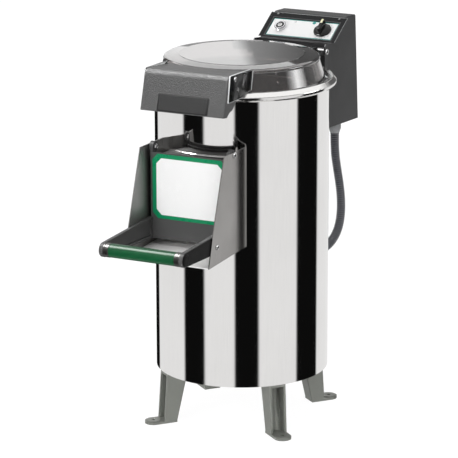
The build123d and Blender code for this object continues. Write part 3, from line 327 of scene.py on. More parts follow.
HOOD_MOULDING = Finish("hood_moulding", "dark_moulding", 0.064, 0.052, (0.32, 0.42), grains=1500, relief=50,
                       specular=0.60, dots=(520, 450))
POWDER_COAT = Finish("powder_coat", "box_paint", (0.027, 0.027, 0.028), (0.022, 0.022, 0.023), (0.38, 0.5),
                     grains=1300, relief=60, specular=0.3, dots=(900, 60))
PANEL_PAINT = Finish("panel_paint", "box_paint", (0.007, 0.007, 0.008), (0.005, 0.005, 0.006), (0.20, 0.28),
                     grains=1300, relief=10, specular=0.14)
# Pale grey for the edges of the panel's black facing: a painted highlight where the edge catches the light.
PAINTED_EDGE_HIGHLIGHT = Finish("painted_edge_highlight", "box_paint", (0.30, 0.31, 0.31), (0.22, 0.23, 0.23), (0.25, 0.35), clouds=60)
LID_PLASTIC = Finish("lid_plastic", "clear_plastic", (0.62, 0.58, 0.57), (0.58, 0.54, 0.53), (0.01, 0.03), clouds=6,
                     grains=120, relief=2, coat=(1.0, 0.03),
                     settings=(("Transmission Weight", 1.0), ("IOR", 1.5), ("Coat IOR", 1.7)))
CLEAR_PLASTIC = Finish("clear_plastic", "clear_plastic", (0.46, 0.47, 0.47), (0.40, 0.41, 0.41), (0.01, 0.04),
                       clouds=6, grains=120, relief=2, settings=(("Transmission Weight", 1.0), ("IOR", 1.25)))
# Opaque near-white for the clear ears' cut edges: a painted highlight of the lit edges.
EAR_EDGE_HIGHLIGHT = Finish("ear_edge_highlight", "clear_plastic", (0.94, 0.95, 0.95), (0.88, 0.89, 0.89), (0.10, 0.18), clouds=60,
                   relief=10, coat=(0.6, 0.05))
LABEL_FILM = Finish("label_film", "label_white", 0.85, 0.83, (0.22, 0.30), clouds=20, relief=4, coat=(0.3, 0.08))
GREEN_INK = ink("green_ink", (0.0, 0.25, 0.10), (0.0, 0.22, 0.085))
TEAL_INK = ink("teal_ink", (0.01, 0.30, 0.27), (0.01, 0.26, 0.23))
GREY_INK = ink("grey_ink", (0.20, 0.20, 0.21), (0.16, 0.16, 0.17), (0.3, 0.4))
GREEN_PLASTIC = Finish("green_plastic", "green_plastic", (0.006, 0.078, 0.027), (0.004, 0.064, 0.022), (0.24, 0.32),
                       relief=10, specular=0.22)
GLOSS_COVER = Finish("gloss_cover", "black_plastic", 0.006, 0.008, (0.30, 0.40), relief=10, specular=0.06)
BLACK_PLASTIC = Finish("black_plastic", "black_plastic", 0.008, 0.012, (0.14, 0.22), relief=10, specular=0.3)
BUTTON_CAP = Finish("button_cap", "button_green", (0.012, 0.012, 0.013), (0.009, 0.009, 0.010), (0.18, 0.26),
                    relief=10, specular=0.2)
POINTER = Finish("pointer", "black_plastic", (0.80, 0.78, 0.50), (0.76, 0.73, 0.45), (0.3, 0.4), relief=10)
NYLON = Finish("nylon", "grey_plastic", (0.36, 0.365, 0.375), (0.31, 0.315, 0.325), (0.34, 0.46), relief=40)
CONDUIT_PVC = Finish("conduit_pvc", "conduit_grey", (0.150, 0.153, 0.170), (0.120, 0.123, 0.138), (0.14, 0.22),
                     coat=(0.6, 0.08))
# A darker copy of the conduit's PVC for the groove bottoms: painted shade in the corrugations.
CONDUIT_GROOVE_SHADE = Finish("conduit_groove_shade", "conduit_grey", (0.030, 0.031, 0.036), (0.022, 0.023, 0.027), (0.3, 0.4),
                        specular=0.2)

NODE_FINISH: dict[Finish, str] = {
    MIRROR_STEEL: "outer_casing",
    POLISHED_STEEL: "rim_ring",
    CHEEK_STEEL: "cheek_right",
    WORN_STEEL: "cheek_left",
    FERRULE_STEEL: "handle_ferrules",
    BRUSHED_STEEL: "door_neck cheek_pins ear_screws drain_outlet handle_bar",
    BLACK_OXIDE: "lid_bracket lid_pins",
    SATIN_SHEET: "chute_floor",
    PLAIN_STEEL: "drum_floor base_plate disc_shaft disc_nut leg_bolts plate_studs shaft_bearings motor_plate "
                 "motor_rotor box_brackets box_screws",
    CAST_PAINT: "leg_front_right leg_rear_right leg_rear_left leg_front_left",
    CAST_IRON: "hub_housing disc_pulley motor_pulley",
    MOTOR_PAINT: "motor_housing",
    GRIT: "abrasive_liner",
    DISC_GRIT: "peeling_disc",
    RUBBER: "rim_gasket door_gasket shaft_seal drive_belt",
    GRIP_PAD: "grip_pad",
    DARK_MOULDING: "door_panel door_arms",
    HOOD_MOULDING: "hood",
    POWDER_COAT: "control_box back_cover",
    PANEL_PAINT: "panel_plate",
    LID_PLASTIC: "lid_shell",
    CLEAR_PLASTIC: "hood_ears",
    LABEL_FILM: "door_label panel_label",
    GREEN_PLASTIC: "handle_grip",
    BLACK_PLASTIC: "timer_knob timer_body contactor lid_sensor",
    BUTTON_CAP: "push_button",
    SATIN_CHROME: "button_bezel",
    NYLON: "cable_glands terminal_block",
    CONDUIT_PVC: "conduit",
    BRASS: "water_inlet",
}


def dress_nodes() -> None:
    """Gives each CAD node its finish."""
    for finish, names in NODE_FINISH.items():
        material = finish.build()
        for name in names.split():
            for place in frame["nodes"][name].material_slots:
                place.material = material
            log.info("node %s: %s", name, finish.name)


# ---------------------------------------------------------------- places and profiles

def facing(origin: Sequence[float], outward: Sequence[float], up: Sequence[float] = (0, 0, 1)) -> Matrix:
    """A place whose local +Z points outwards and whose local +Y points as far up as it can.

    Args:
        origin: Where it is.
        outward: Its local +Z.
        up: The direction that its local +Y leans to.

    Returns:
        The place as a matrix.
    """
    z_axis = Vector(outward).normalized()
    x_axis = Vector(up).cross(z_axis).normalized()
    y_axis = z_axis.cross(x_axis)
    turn = Matrix((x_axis, y_axis, z_axis)).transposed().to_4x4()
    return Matrix.Translation(origin) @ turn


def sideways(side: int, x: float, y: float = 0.0, z: float = 0.0) -> Matrix:
    """A place on one side of the machine, x from its middle, that faces outwards."""
    return facing((side * x, y, z), (side, 0, 0))


def at(x: float = 0.0, y: float = 0.0, z: float = 0.0) -> Matrix:
    """A shift in metres."""
    return Matrix.Translation((x, y, z))


def turn_z(angle: float) -> Matrix:
    """A turn about Z in degrees."""
    return Matrix.Rotation(radians(angle), 4, "Z")


def on_cover(x: float, y: float) -> Matrix:
    """A place on the control box's back cover, facing backwards.

    Args:
        x: Across the machine, to the right as seen from the front.
        y: Up the cover from its middle.

    Returns:
        The place, its local +Z out of the cover.
    """
    low, high = Vector((0, 0.437, 0.627)), Vector((0, 0.417, 0.885))
    up = (high - low).normalized()
    outward = Vector((0, up.z, -up.y))
    return facing((low + high) / 2 + outward * 1.5 * MM + up * y + Vector((x, 0, 0)), outward)


def mm(*points: Point2) -> list[Point2]:
    """Points given in millimetres."""
    return [(x * MM, y * MM) for x, y in points]


def oblong(half_x: float, half_y: float) -> list[Point2]:
    """A rectangle round the origin."""
    return [(half_x, half_y), (-half_x, half_y), (-half_x, -half_y), (half_x, -half_y)]


def off_axis(face: bmesh.types.BMFace) -> float:
    """How far a face's middle is from the Z axis."""
    return face.calc_center_median().xy.length


# ---------------------------------------------------------------- mesh forms

def linked(name: str, data: bpy.types.ID) -> bpy.types.Object:
    """A new object in the scene, with this data."""
    made = bpy.data.objects.new(name, data)
    bpy.context.scene.collection.objects.link(made)
    return made


def mesh_of(curve: bpy.types.Curve) -> bpy.types.Mesh:
    """The mesh of a curve, which is used up."""
    carrier = linked(curve.name, curve)
    mesh = bpy.data.meshes.new_from_object(carrier.evaluated_get(bpy.context.evaluated_depsgraph_get()))
    bpy.data.objects.remove(carrier)
    bpy.data.curves.remove(curve)
    return mesh


class Form:
    """A mesh under construction, in metres, shaped by bmesh operators."""

    def __init__(self) -> None:
        """Starts empty."""
        self.bm = bmesh.new()

    def turned(self, profile: Sequence[Point2], steps: int = 48, closed: bool = False) -> "Form":
        """Turns a half section about Z.

        Args:
            profile: Points (radius, height), in order.
            steps: Divisions of the full turn.
            closed: True if the section is a loop that stays off the axis.

        Returns:
            The form itself.
        """
        start = [self.bm.verts.new((radius, 0.0, height)) for radius, height in profile]
        pairs = list(zip(start, start[1:] + start[:1] if closed else start[1:]))
        edges = [self.bm.edges.new(pair) for pair in pairs]
        bmesh.ops.spin(self.bm, geom=start + edges, axis=(0, 0, 1), cent=(0, 0, 0), angle=tau, steps=steps,
                       use_merge=True)
        return self.mended()

    def mended(self) -> "Form":
        """Merges doubles, drops slivers and turns the faces outwards."""
        bmesh.ops.remove_doubles(self.bm, verts=self.bm.verts, dist=1e-6)
        bmesh.ops.dissolve_degenerate(self.bm, edges=self.bm.edges, dist=1e-7)
        bmesh.ops.recalc_face_normals(self.bm, faces=self.bm.faces)
        return self

    def plate(self, outline: Sequence[Point2], thickness: float, corner: float = 0.0, edge: float = 0.0) -> "Form":
        """A flat plate, standing on z 0, in a form that is still empty.

        Args:
            outline: Corners in XY, in order.
            thickness: Height along +Z.
            corner: How far each corner is rounded back.
            edge: Width of the rounding round its upper face.

        Returns:
            The form itself.
        """
        self.bm.faces.new([self.bm.verts.new((x, y, 0.0)) for x, y in outline])
        if corner:
            bmesh.ops.bevel(self.bm, geom=list(self.bm.verts), offset=corner, offset_type="OFFSET", segments=4,
                            profile=0.5, affect="VERTICES", material=-1)
        made = bmesh.ops.extrude_face_region(self.bm, geom=list(self.bm.faces))["geom"]
        tops = [part for part in made if isinstance(part, bmesh.types.BMVert)]
        bmesh.ops.translate(self.bm, vec=(0, 0, thickness), verts=tops)
        self.mended()
        if edge:
            top = [line for line in self.bm.edges if all(end.co.z > 0.99 * thickness for end in line.verts)]
            self.bevelled(edge, 2, top)
        return self

    def marked(self, chosen: Callable[[bmesh.types.BMFace], bool]) -> "Form":
        """Gives the chosen faces the second finish."""
        for face in self.bm.faces:
            if chosen(face):
                face.material_index = 1
        return self

    def repeated(self, places: Iterable[Matrix]) -> "Form":
        """Sets a copy of the form at each place, and drops the original."""
        spare = bpy.data.meshes.new("spare")
        self.bm.to_mesh(spare)
        self.bm.clear()
        for place in places:
            first = len(self.bm.verts)
            self.bm.from_mesh(spare)
            self.bm.verts.ensure_lookup_table()
            bmesh.ops.transform(self.bm, matrix=place, verts=self.bm.verts[first:])
        bpy.data.meshes.remove(spare)
        return self

    def block(self, size: Sequence[float], centre: Sequence[float] = (0, 0, 0)) -> "Form":
        """A block of this size."""
        bmesh.ops.create_cube(self.bm, size=1.0, matrix=Matrix.Translation(centre) @ Matrix.Diagonal((*size, 1.0)))
        return self

    def cone(self, sides: int, low_r: float, high_r: float, depth: float, middle_z: float = 0.0) -> "Form":
        """An upright cone or prism with this many sides, and its radius at each end."""
        bmesh.ops.create_cone(self.bm, cap_ends=True, cap_tris=False, segments=sides, radius1=low_r, radius2=high_r,
                              depth=depth, matrix=at(z=middle_z))
        return self

    def bevelled(self, width: float, segments: int = 2, edges: Iterable[bmesh.types.BMEdge] | None = None) -> "Form":
        """Rounds edges, all of them where none are named."""
        chosen = list(self.bm.edges if edges is None else edges)
        bmesh.ops.bevel(self.bm, geom=chosen, offset=width, offset_type="OFFSET", segments=segments, profile=0.5,
                        affect="EDGES", material=-1, clamp_overlap=True)
        return self

    def cut(self, point: Sequence[float], normal: Sequence[float]) -> "Form":
        """Cuts away what lies beyond a plane and closes the cut."""
        parts = [*self.bm.verts, *self.bm.edges, *self.bm.faces]
        bmesh.ops.bisect_plane(self.bm, geom=parts, plane_co=point, plane_no=normal, clear_outer=True)
        bmesh.ops.holes_fill(self.bm, edges=[line for line in self.bm.edges if line.is_boundary])
        return self.mended()

    def placed(self, matrix: Matrix) -> "Form":
        """Moves the whole form."""
        bmesh.ops.transform(self.bm, matrix=matrix, verts=self.bm.verts)
        return self

    def joined(self, *others: "Form") -> "Form":
        """Takes in other forms, which are used up."""
        for other in others:
            spare = bpy.data.meshes.new("spare")
            other.bm.to_mesh(spare)
            self.bm.from_mesh(spare)
            other.bm.free()
            bpy.data.meshes.remove(spare)
        return self

    def piece(self, name: str, finish: Finish, body: Body = Body.MACHINE, replaces: Sequence[str] = (),
              more: Sequence[Finish] = ()) -> bpy.types.Object:
        """Turns the form into a finished piece.

        Args:
            name: The piece's name.
            finish: Its finish.
            body: The CAD body that it rides on.
            replaces: CAD nodes that it stands for.
            more: The second finish, for faces that are marked.

        Returns:
            The new object.
        """
        mesh = bpy.data.meshes.new(name)
        self.bm.to_mesh(mesh)
        self.bm.free()
        mesh.shade_smooth()
        mesh.set_sharp_from_angle(angle=SMOOTH_ANGLE)
        for each in (finish, *more):
            mesh.materials.append(each.build())
        made = linked(name, mesh)
        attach(made, body.value)
        if replaces:
            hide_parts(*replaces)
        log.info("piece %s: %d faces, %s", name, len(mesh.polygons), finish.name)
        return made


HEAD = ((1.0, 0.45), (0.93, 0.82), (0.80, 1.0))      # a screw head's outline, in shares of its radius and height
DOME = ((1.0, 0.35), (0.72, 0.82), (0.0, 1.0))       # a rivet's


def pin(head_r: float, head_h: float, recess_r: float, shank_r: float, shank_l: float) -> Form:
    """A headed pin or socket screw in millimetres, its seat at z 0 and its shank below; the recess is marked.

    Args:
        head_r: Radius of the head.
        head_h: Height of the head.
        recess_r: Radius of the round socket in the head.
        shank_r: Radius of the shank.
        shank_l: Length of the shank.

    Returns:
        The pin.
    """
    sink = head_h * 0.35
    head = [(head_r * r, head_h * h) for r, h in HEAD]
    made = Form().turned(mm((0, -shank_l), (shank_r, -shank_l), (shank_r, 0), (head_r, 0), *head, (recess_r, head_h),
                            (recess_r * 0.92, sink), (0, sink)), steps=28)
    return made.marked(lambda face: off_axis(face) < recess_r * 0.99 * MM and face.calc_center_median().z > 0)


def dome(radius: float, height: float, steps: int = 12) -> Form:
    """A rivet's low dome in millimetres, standing on z 0."""
    return Form().turned(mm((0, 0), (radius, 0), *((radius * r, height * h) for r, h in DOME)), steps=steps)


def words(text: str, size: float) -> Form:
    """Plain printed text, centred on the origin in XY."""
    curve = bpy.data.curves.new("words", "FONT")
    curve.body, curve.size, curve.extrude = text, size, PROUD / 2
    curve.align_x, curve.align_y = "CENTER", "CENTER"
    mesh = mesh_of(curve)
    form = Form()
    form.bm.from_mesh(mesh)
    bpy.data.meshes.remove(mesh)
    return form.placed(at(z=PROUD / 2)).mended()


# ---------------------------------------------------------------- drum

@dataclass
class Drum:
    """The drum's seam, its welds, the bead on the neck with a dark sheet of painted shade in front, and the fixings of
    the lining.
    """

    radius: float = 200 * MM
    low: float = 122 * MM
    high: float = 784 * MM
    seam_spots: int = 22
    spot_pitch: float = 30 * MM
    lining_r: float = 190 * MM
    lining: Point2 = (402 * MM, 758 * MM)
    neck_z: Point2 = (473 * MM, 657 * MM)
    neck_front: float = -239 * MM
    bead_x: tuple[float, ...] = (92.4 * MM, 98.3 * MM)
    bead_r: Point2 = (1.05 * MM, 1.35 * MM)
    ripple: float = 2.6 * MM
    trim_r: float = 2.4 * MM
    rivet_rows: tuple[float, ...] = (415 * MM, 580 * MM, 745 * MM)
    row_rivets: int = 12
    strip_angles: tuple[float, ...] = (20, 150, 225)

    def build(self) -> None:
        """Makes the seam, the welds, the neck's bead and its painted shade sheet, and the lining's fixings."""
        self.seam()
        self.welds()
        self.neck_bead_and_shade()
        self.fixings()

    def seam(self) -> None:
        """The lapped and spot-welded seam at the back."""
        middle = facing((0, self.radius - 0.1 * MM, (self.high + self.low) / 2), (0, 1, 0))
        strip = Form().block((11 * MM, self.high - self.low, 0.7 * MM), (0, 0, 0.35 * MM)).bevelled(0.2 * MM, 2)
        first = (self.seam_spots - 1) / 2
        spots = dome(1.9, 0.35, 10).repeated(
            at(0, (k - first) * self.spot_pitch, 0.65 * MM) for k in range(self.seam_spots))
        strip.joined(spots).placed(middle).piece("casing_seam", BRUSHED_STEEL)

    def welds(self) -> None:
        """The rippled beads where the neck meets the casing and the cheeks meet the neck."""
        low, high = self.neck_z
        ripples = round((high - low) / self.ripple)
        step = (high - low) / ripples
        crests = [(self.bead_r[k % 2], k * step / 2) for k in range(1, 2 * ripples)]
        bead = Form().turned([(0, 0), *crests, (0, high - low)], steps=8)
        bead.repeated(at(side * x, self.front_at(x), low) for side in SIDES for x in self.bead_x)
        bead.piece("neck_welds", WELD)

    def neck_bead_and_shade(self) -> None:
        """The bright bead over the neck, and a thin dark sheet in front of it that is painted shade on the neck's top.
        """
        high, sides = self.neck_z[1], 12
        turns = [tau * k / sides for k in range(sides)]
        ring = [(self.radius + 1.6 * MM + self.trim_r * cos(turn), high + 1.2 * MM + self.trim_r * sin(turn))
                for turn in turns]
        trim = Form().turned(ring, steps=180, closed=True).cut((0, self.front_at(93 * MM), 0), (0, 1, 0))
        trim.piece("neck_bead", POLISHED_STEEL)
        # A thin dark sheet laid on the neck's top: painted shade where the neck's top is in shadow.
        back = [(x * MM, self.front_at(x * MM) - 3.2 * MM) for x in range(-90, 91, 6)]
        cover = Form().plate([*back, (90 * MM, self.neck_front), (-90 * MM, self.neck_front)], 1 * MM)
        cover.placed(at(z=high + 0.1 * MM)).piece("neck_shade_sheet", RUBBER)

    def front_at(self, x: float) -> float:
        """Where the casing's front is at this distance to the side."""
        return -sqrt(self.radius ** 2 - x ** 2)

    def fixings(self) -> None:
        """The rivets and joint strips that hold the lining; the door's opening takes the place of one rivet."""
        opening = (self.rivet_rows[1], 270)
        turns = range(0, 360, 360 // self.row_rivets)
        places = [self.inward(turn, row) for row in self.rivet_rows for turn in turns if (row, turn) != opening]
        dome(3.4, 1.7).repeated(places).piece("lining_rivets", BRIGHT_SCREW)
        height = self.lining[1] - self.lining[0]
        strip = Form().block((14 * MM, height, 1.4 * MM), (0, 0, 0.5 * MM)).bevelled(0.3 * MM, 2)
        strip.repeated(self.inward(angle, sum(self.lining) / 2) for angle in self.strip_angles)
        strip.piece("lining_strips", PLAIN_STEEL)

    def inward(self, angle: float, height: float) -> Matrix:
        """A place on the lining that faces the axis."""
        way = Vector((cos(radians(angle)), sin(radians(angle)), 0))
        return facing(way * self.lining_r + Vector((0, 0, height)), -way)


# ---------------------------------------------------------------- conduit and glands

@dataclass
class Conduit:
    """The corrugated conduit from the control box down to the motor bay, with its glands."""

    route: tuple[Triple, ...] = (
        (0.072, 0.351, 0.606), (0.072, 0.351, 0.562), (0.080, 0.350, 0.516), (0.092, 0.343, 0.470),
        (0.102, 0.328, 0.425), (0.107, 0.304, 0.385), (0.102, 0.274, 0.356), (0.090, 0.240, 0.342),
        (0.078, 0.208, 0.342))
    radius: float = 11 * MM
    pitch: float = 5.3 * MM
    rib_depth: float = 1.9 * MM
    rib: tuple[Point2, ...] = ((0.0, 0.0), (0.18, 0.15), (0.32, 0.75), (0.5, 1.0), (0.68, 0.75), (0.82, 0.15))
    groove: float = 0.72
    around: int = 28
    gland_r: float = 13.6 * MM
    gland_bore: float = 10 * MM
    box_gland_z: float = 0.629

    def centreline(self) -> list[Vector]:
        """Points along the smooth line that hangs between the two glands."""
        curve = bpy.data.curves.new("conduit_line", "CURVE")
        curve.dimensions = "3D"
        curve.resolution_u = 24
        spline = curve.splines.new("NURBS")
        spline.points.add(len(self.route) - 1)
        for point, place in zip(spline.points, self.route):
            point.co = (*place, 1.0)
        spline.order_u = 3
        spline.use_endpoint_u = True
        mesh = mesh_of(curve)
        points = [vertex.co.copy() for vertex in mesh.vertices]
        bpy.data.meshes.remove(mesh)
        return points

    def build(self) -> None:
        """Makes the ribbed tube along its line, its grooves painted dark as shade, and the glands."""
        line = self.centreline()
        runs = [0.0]
        for before, after in zip(line, line[1:]):
            runs.append(runs[-1] + (after - before).length)
        length = runs[-1]
        ribs = round(length / self.pitch)
        profile = [(self.radius - self.rib_depth * (1 - rise), (rib + share) * length / ribs)
                   for rib in range(ribs) for share, rise in self.rib]
        straight = Form().turned([(0, 0), *profile, (self.radius - self.rib_depth, length), (0, length)],
                                 steps=self.around)
        # Faces deep in the grooves take the darker finish: painted shade.
        straight.marked(lambda face: off_axis(face) < self.radius - self.groove * self.rib_depth)
        self.bend(straight, line, runs)
        tube = straight.piece("conduit_tube", CONDUIT_PVC, Body.MACHINE, ["conduit"], more=[CONDUIT_GROOVE_SHADE])
        self.glands()

    def bend(self, form: Form, line: Sequence[Vector], runs: Sequence[float]) -> None:
        """Lays a straight upright form along a line.

        Args:
            form: The form, standing on z 0, as long as the line.
            line: The line's points.
            runs: Length of the line up to each point.
        """
        forward = [(after - before).normalized() for before, after in zip(line, line[1:])]
        forward.append(forward[-1])
        side = forward[0].orthogonal().normalized()
        sides = []
        for way in forward:
            side = (side - way * side.dot(way)).normalized()
            sides.append(side)
        for vertex in form.bm.verts:
            step = next((k for k in range(len(runs) - 1) if vertex.co.z <= runs[k + 1]), len(runs) - 2)
            share = (vertex.co.z - runs[step]) / (runs[step + 1] - runs[step])
            way = forward[step].lerp(forward[step + 1], share).normalized()
            across = sides[step].lerp(sides[step + 1], share).normalized()
            place = line[step].lerp(line[step + 1], share)
            vertex.co = place + across * vertex.co.x + way.cross(across) * vertex.co.y
        form.mended()

    @staticmethod
    def gland(radius: float, length: float, bore: float, ribs: int = 18) -> Form:
        """A ribbed cable gland: its seat at z 0, its dome nut towards +Z."""
        nut = Form().turned([(bore, 0), (radius, 0), (radius, length * 0.62), (radius * 0.9, length * 0.86),
                             (radius * 0.8, length), (bore, length)], steps=36, closed=True)
        rib = Form().block((radius * 0.16, radius * 0.12, length * 0.55), (radius, 0, length * 0.31))
        return nut.joined(rib.repeated(turn_z(360 / ribs * turn) for turn in range(ribs)))

    def glands(self) -> None:
        """The glands under the control box, on the casing and on the back cover."""
        top, end = Vector(self.route[0]), Vector(self.route[-1])
        outward = Vector((end.x, end.y, 0)).normalized()
        casing_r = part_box("outer_casing")[1].y
        glands = self.gland(self.gland_r, 23 * MM, self.gland_bore)
        glands.placed(facing((top.x, top.y, self.box_gland_z), (0, 0, -1), (0, 1, 0)))
        case_gland = self.gland(self.gland_r, end.xy.length - casing_r, self.gland_bore)
        case_gland.placed(facing(outward * casing_r + Vector((0, 0, end.z)), outward))
        mains = self.gland(9.6 * MM, 18 * MM, 4 * MM).placed(on_cover(-50 * MM, -85 * MM))
        glands.joined(case_gland, mains).piece("gland_nuts", NYLON, Body.MACHINE, ["cable_glands"])


# ---------------------------------------------------------------- door

@dataclass
class Door:
    """The discharge door's label, its arms and handle, and the pins that carry it."""

    face_y: float = -258 * MM
    ink_x: float = 83 * MM
    ink_z: Point2 = (526.5 * MM, 656.8 * MM)
    corner: float = 13.5 * MM
    arm_x: float = 103 * MM
    arm_z: Point2 = (473.5 * MM, 518.5 * MM)
    arm_end_r: float = 15.2 * MM
    handle: Point2 = (-471 * MM, 494.5 * MM)
    sleeve_r: float = 15.5 * MM
    sleeve_half: float = 81 * MM
    ferrule_end: float = 94 * MM
    tube_r: float = 14.2 * MM
    cheek_x: float = 106 * MM
    pivot: Point2 = (-245 * MM, 679 * MM)
    catch: Point2 = (-329 * MM, 490 * MM)

    def build(self) -> None:
        """Makes the label, the arm covers, the handle and the pins."""
        self.label()
        self.covers()
        self.grip()
        self.pins()

    def label(self) -> None:
        """The bare white label on its green border."""
        low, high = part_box("door_label")
        green = Form().plate(self.cut_corners(high.x, (high.z - low.z) / 2, self.corner), high.y - low.y)
        green.placed(facing((0, self.face_y, (low.z + high.z) / 2), (0, -1, 0)))
        green.piece("label_border", GREEN_INK, Body.DOOR, ["door_label"])
        white = Form().plate(self.cut_corners(self.ink_x, (self.ink_z[1] - self.ink_z[0]) / 2, self.corner - 1 * MM),
                             0.15 * MM)
        white.placed(facing((0, low.y, sum(self.ink_z) / 2), (0, -1, 0))).piece("label_field", LABEL_FILM, Body.DOOR)

    @staticmethod
    def cut_corners(half_x: float, half_y: float, cut: float) -> list[Point2]:
        """A rectangle with its corners cut off."""
        return [(half_x, half_y - cut), (half_x - cut, half_y), (cut - half_x, half_y), (-half_x, half_y - cut),
                (-half_x, cut - half_y), (cut - half_x, -half_y), (half_x - cut, -half_y), (half_x, cut - half_y)]

    def covers(self) -> None:
        """The glossy cover along the outside of each arm, with a round cap over the handle's end."""
        covers = Form()
        y, z = self.handle
        turns = [radians(turn) for turn in range(93, 268, 9)]
        for side in SIDES:
            round_end = [(side * (y + self.arm_end_r * cos(turn)), z + self.arm_end_r * sin(turn)) for turn in turns]
            rear = side * (self.face_y - 3 * MM)
            skin = Form().plate([*((rear, height) for height in self.arm_z), *round_end], 0.6 * MM)
            cap = Form().turned(mm((0, 0), (13.4, 0), (13.4, 1.0), (12.6, 1.7), (9.4, 1.9), (9.0, 1.5), (8.4, 1.5),
                                   (8.0, 1.9), (0, 2.0)), steps=40)
            covers.joined(skin.joined(cap.placed(at(side * y, z, 0.3 * MM))).placed(sideways(side, self.arm_x)))
        covers.piece("arm_covers", GLOSS_COVER, Body.DOOR)

    def grip(self) -> None:
        """The green sleeve and the bright ferrules at its ends."""
        length, inner, outer, chamfer = 2 * self.sleeve_half, self.tube_r, self.sleeve_r, 0.5 * MM
        sleeve = Form().turned([(inner, 0), (outer - chamfer, 0), (outer, chamfer), (outer, length - chamfer),
                                (outer - chamfer, length), (inner, length)], steps=64, closed=True)
        sleeve.placed(sideways(1, -self.sleeve_half, *self.handle))
        sleeve.piece("handle_sleeve", GREEN_PLASTIC, Body.DOOR, ["handle_grip"])
        width, big, lip = self.ferrule_end - self.sleeve_half, outer + 0.5 * MM, 0.7 * MM
        ferrules = Form()
        for side in SIDES:
            ring = Form().turned([(inner, 0), (big - lip, 0), (big, lip), (big, width * 0.62),
                                  (big - chamfer, width * 0.67), (big - chamfer, width * 0.75), (big, width * 0.8),
                                  (big, width), (inner, width)], steps=56, closed=True)
            ferrules.joined(ring.placed(sideways(side, self.sleeve_half, *self.handle)))
        ferrules.piece("handle_ferrule_rings", FERRULE_STEEL, Body.DOOR, ["handle_ferrules"])

    def pins(self) -> None:
        """The door's two pivots, with their nuts, and its two catches, in the cheeks."""
        pins = Form()
        for side in SIDES:
            nut = dome(6.5, 4.6, 20).placed(at(z=-14 * MM) @ Matrix.Rotation(radians(180), 4, "X"))
            pivot = pin(7, 2.5, 3.1, 5, 14).joined(nut).placed(sideways(side, self.cheek_x, *self.pivot))
            catch = pin(6, 2.5, 2.9, 4, 2.5).placed(sideways(side, self.cheek_x, *self.catch))
            pins.joined(pivot, catch)
        # The pins' socket recesses take black: painted shade in the sockets.
        pins.piece("door_pins", BRIGHT_SCREW, Body.MACHINE, ["cheek_pins"], more=[BLACK_PLASTIC])


# ---------------------------------------------------------------- lid

@dataclass
class Lid:
    """The clear ears, screws and grip pad on the lid's hood, and the lid's hinge pins."""

    hood_x: float = 104 * MM
    ear: tuple[Point2, ...] = ((-266, 861), (-162, 859), (-172, 809), (-186, 808), (-198, 801), (-276, 801))
    flange: tuple[Point2, ...] = ((-163, 855), (-166, 855), (-174.5, 813), (-171.5, 813))
    ear_t: float = 2.5 * MM
    flange_t: float = 7 * MM
    screw: Point2 = (-243 * MM, 850 * MM)
    front: tuple[Point2, Point2] = ((-293 * MM, 771 * MM), (-268 * MM, 861 * MM))
    pad_z: Point2 = (773 * MM, 810 * MM)
    pad_x: float = 63 * MM
    pitch: float = 3.2 * MM
    hinge: Triple = (94 * MM, 254 * MM, 822 * MM)

    def build(self) -> None:
        """Makes the ears, the grip pad and the pins."""
        self.ears()
        self.grip()
        self.pins()

    def ears(self) -> None:
        """The clear side plates, with a painted highlight along their cut edges and on the flange's top, with one screw
        each.
        """
        ears, screws = Form(), Form()
        for side in SIDES:
            ear, flange = (mm(*((side * y, z) for y, z in outline)) for outline in (self.ear, self.flange))
            # The plate's cut edges and the flange's top take the painted edge highlight.
            plate = Form().plate(ear, self.ear_t, 3.4 * MM, 1.2 * MM).marked(lambda face: abs(face.normal.z) < 0.98)
            rib = Form().plate(flange, self.flange_t).bevelled(0.4 * MM, 2).marked(lambda face: face.normal.z > 0.5)
            ears.joined(plate.joined(rib).placed(sideways(side, self.hood_x + 0.2 * MM)))
            screw = pin(5.5, 2.2, 2.6, 2.8, self.ear_t / MM)
            screws.joined(screw.placed(sideways(side, self.hood_x + self.ear_t, *self.screw)))
        ears.piece("hood_ear_plates", CLEAR_PLASTIC, Body.LID, ["hood_ears"], more=[EAR_EDGE_HIGHLIGHT])
        # The screws' socket recesses take black: painted shade in the sockets.
        screws.piece("hood_ear_screws", BRIGHT_SCREW, Body.LID, ["ear_screws"], more=[BLACK_PLASTIC])

    def grip(self) -> None:
        """The knurled rubber pad on the hood's slanted front, the points' tops painted lighter as highlight and the pad
        round them darker as shade.
        """
        (low_y, low_z), (high_y, high_z) = self.front
        slant = Vector((0, high_y - low_y, high_z - low_z)).normalized()
        middle_z = sum(self.pad_z) / 2
        middle_y = low_y + (middle_z - low_z) * slant.y / slant.z
        half = (self.pad_z[1] - self.pad_z[0]) / 2 / slant.z
        pad = Form().plate(oblong(self.pad_x, half), 0.8 * MM, 1.2 * MM, 0.3 * MM)
        point = Form().cone(4, self.pitch * 0.5, self.pitch * 0.26, 0.8 * MM, 1.1 * MM)
        # Tops of the points: painted highlight.
        point.marked(lambda face: face.normal.z > 0.5)
        columns, rows = round(2 * (self.pad_x / self.pitch) - 2), round(4 * (half / self.pitch) - 3)
        places = [at((i - (columns - 1) / 2 + (0.25 if j % 2 else -0.25)) * self.pitch,
                     (j - (rows - 1) / 2) * self.pitch / 2)
                  for j in range(rows) for i in range(columns)]
        pad.joined(point.repeated(places)).placed(facing((0, middle_y, middle_z), (0, -slant.z, slant.y)))
        pad.piece("grip_pad_knurl", GRIP_PAD, Body.LID, ["grip_pad"], more=[GRIP_TIP_HIGHLIGHT])

    def pins(self) -> None:
        """The pins that the lid turns on, seen as bright rings on the control box."""
        pins = pin(7, 3, 3.6, 6, 27).repeated(sideways(side, *self.hinge) for side in SIDES)
        # The pins' socket recesses take black: painted shade in the sockets.
        pins.piece("lid_hinge_pins", BRIGHT_SCREW, Body.MACHINE, ["lid_pins"], more=[BLACK_PLASTIC])


# ---------------------------------------------------------------- control panel

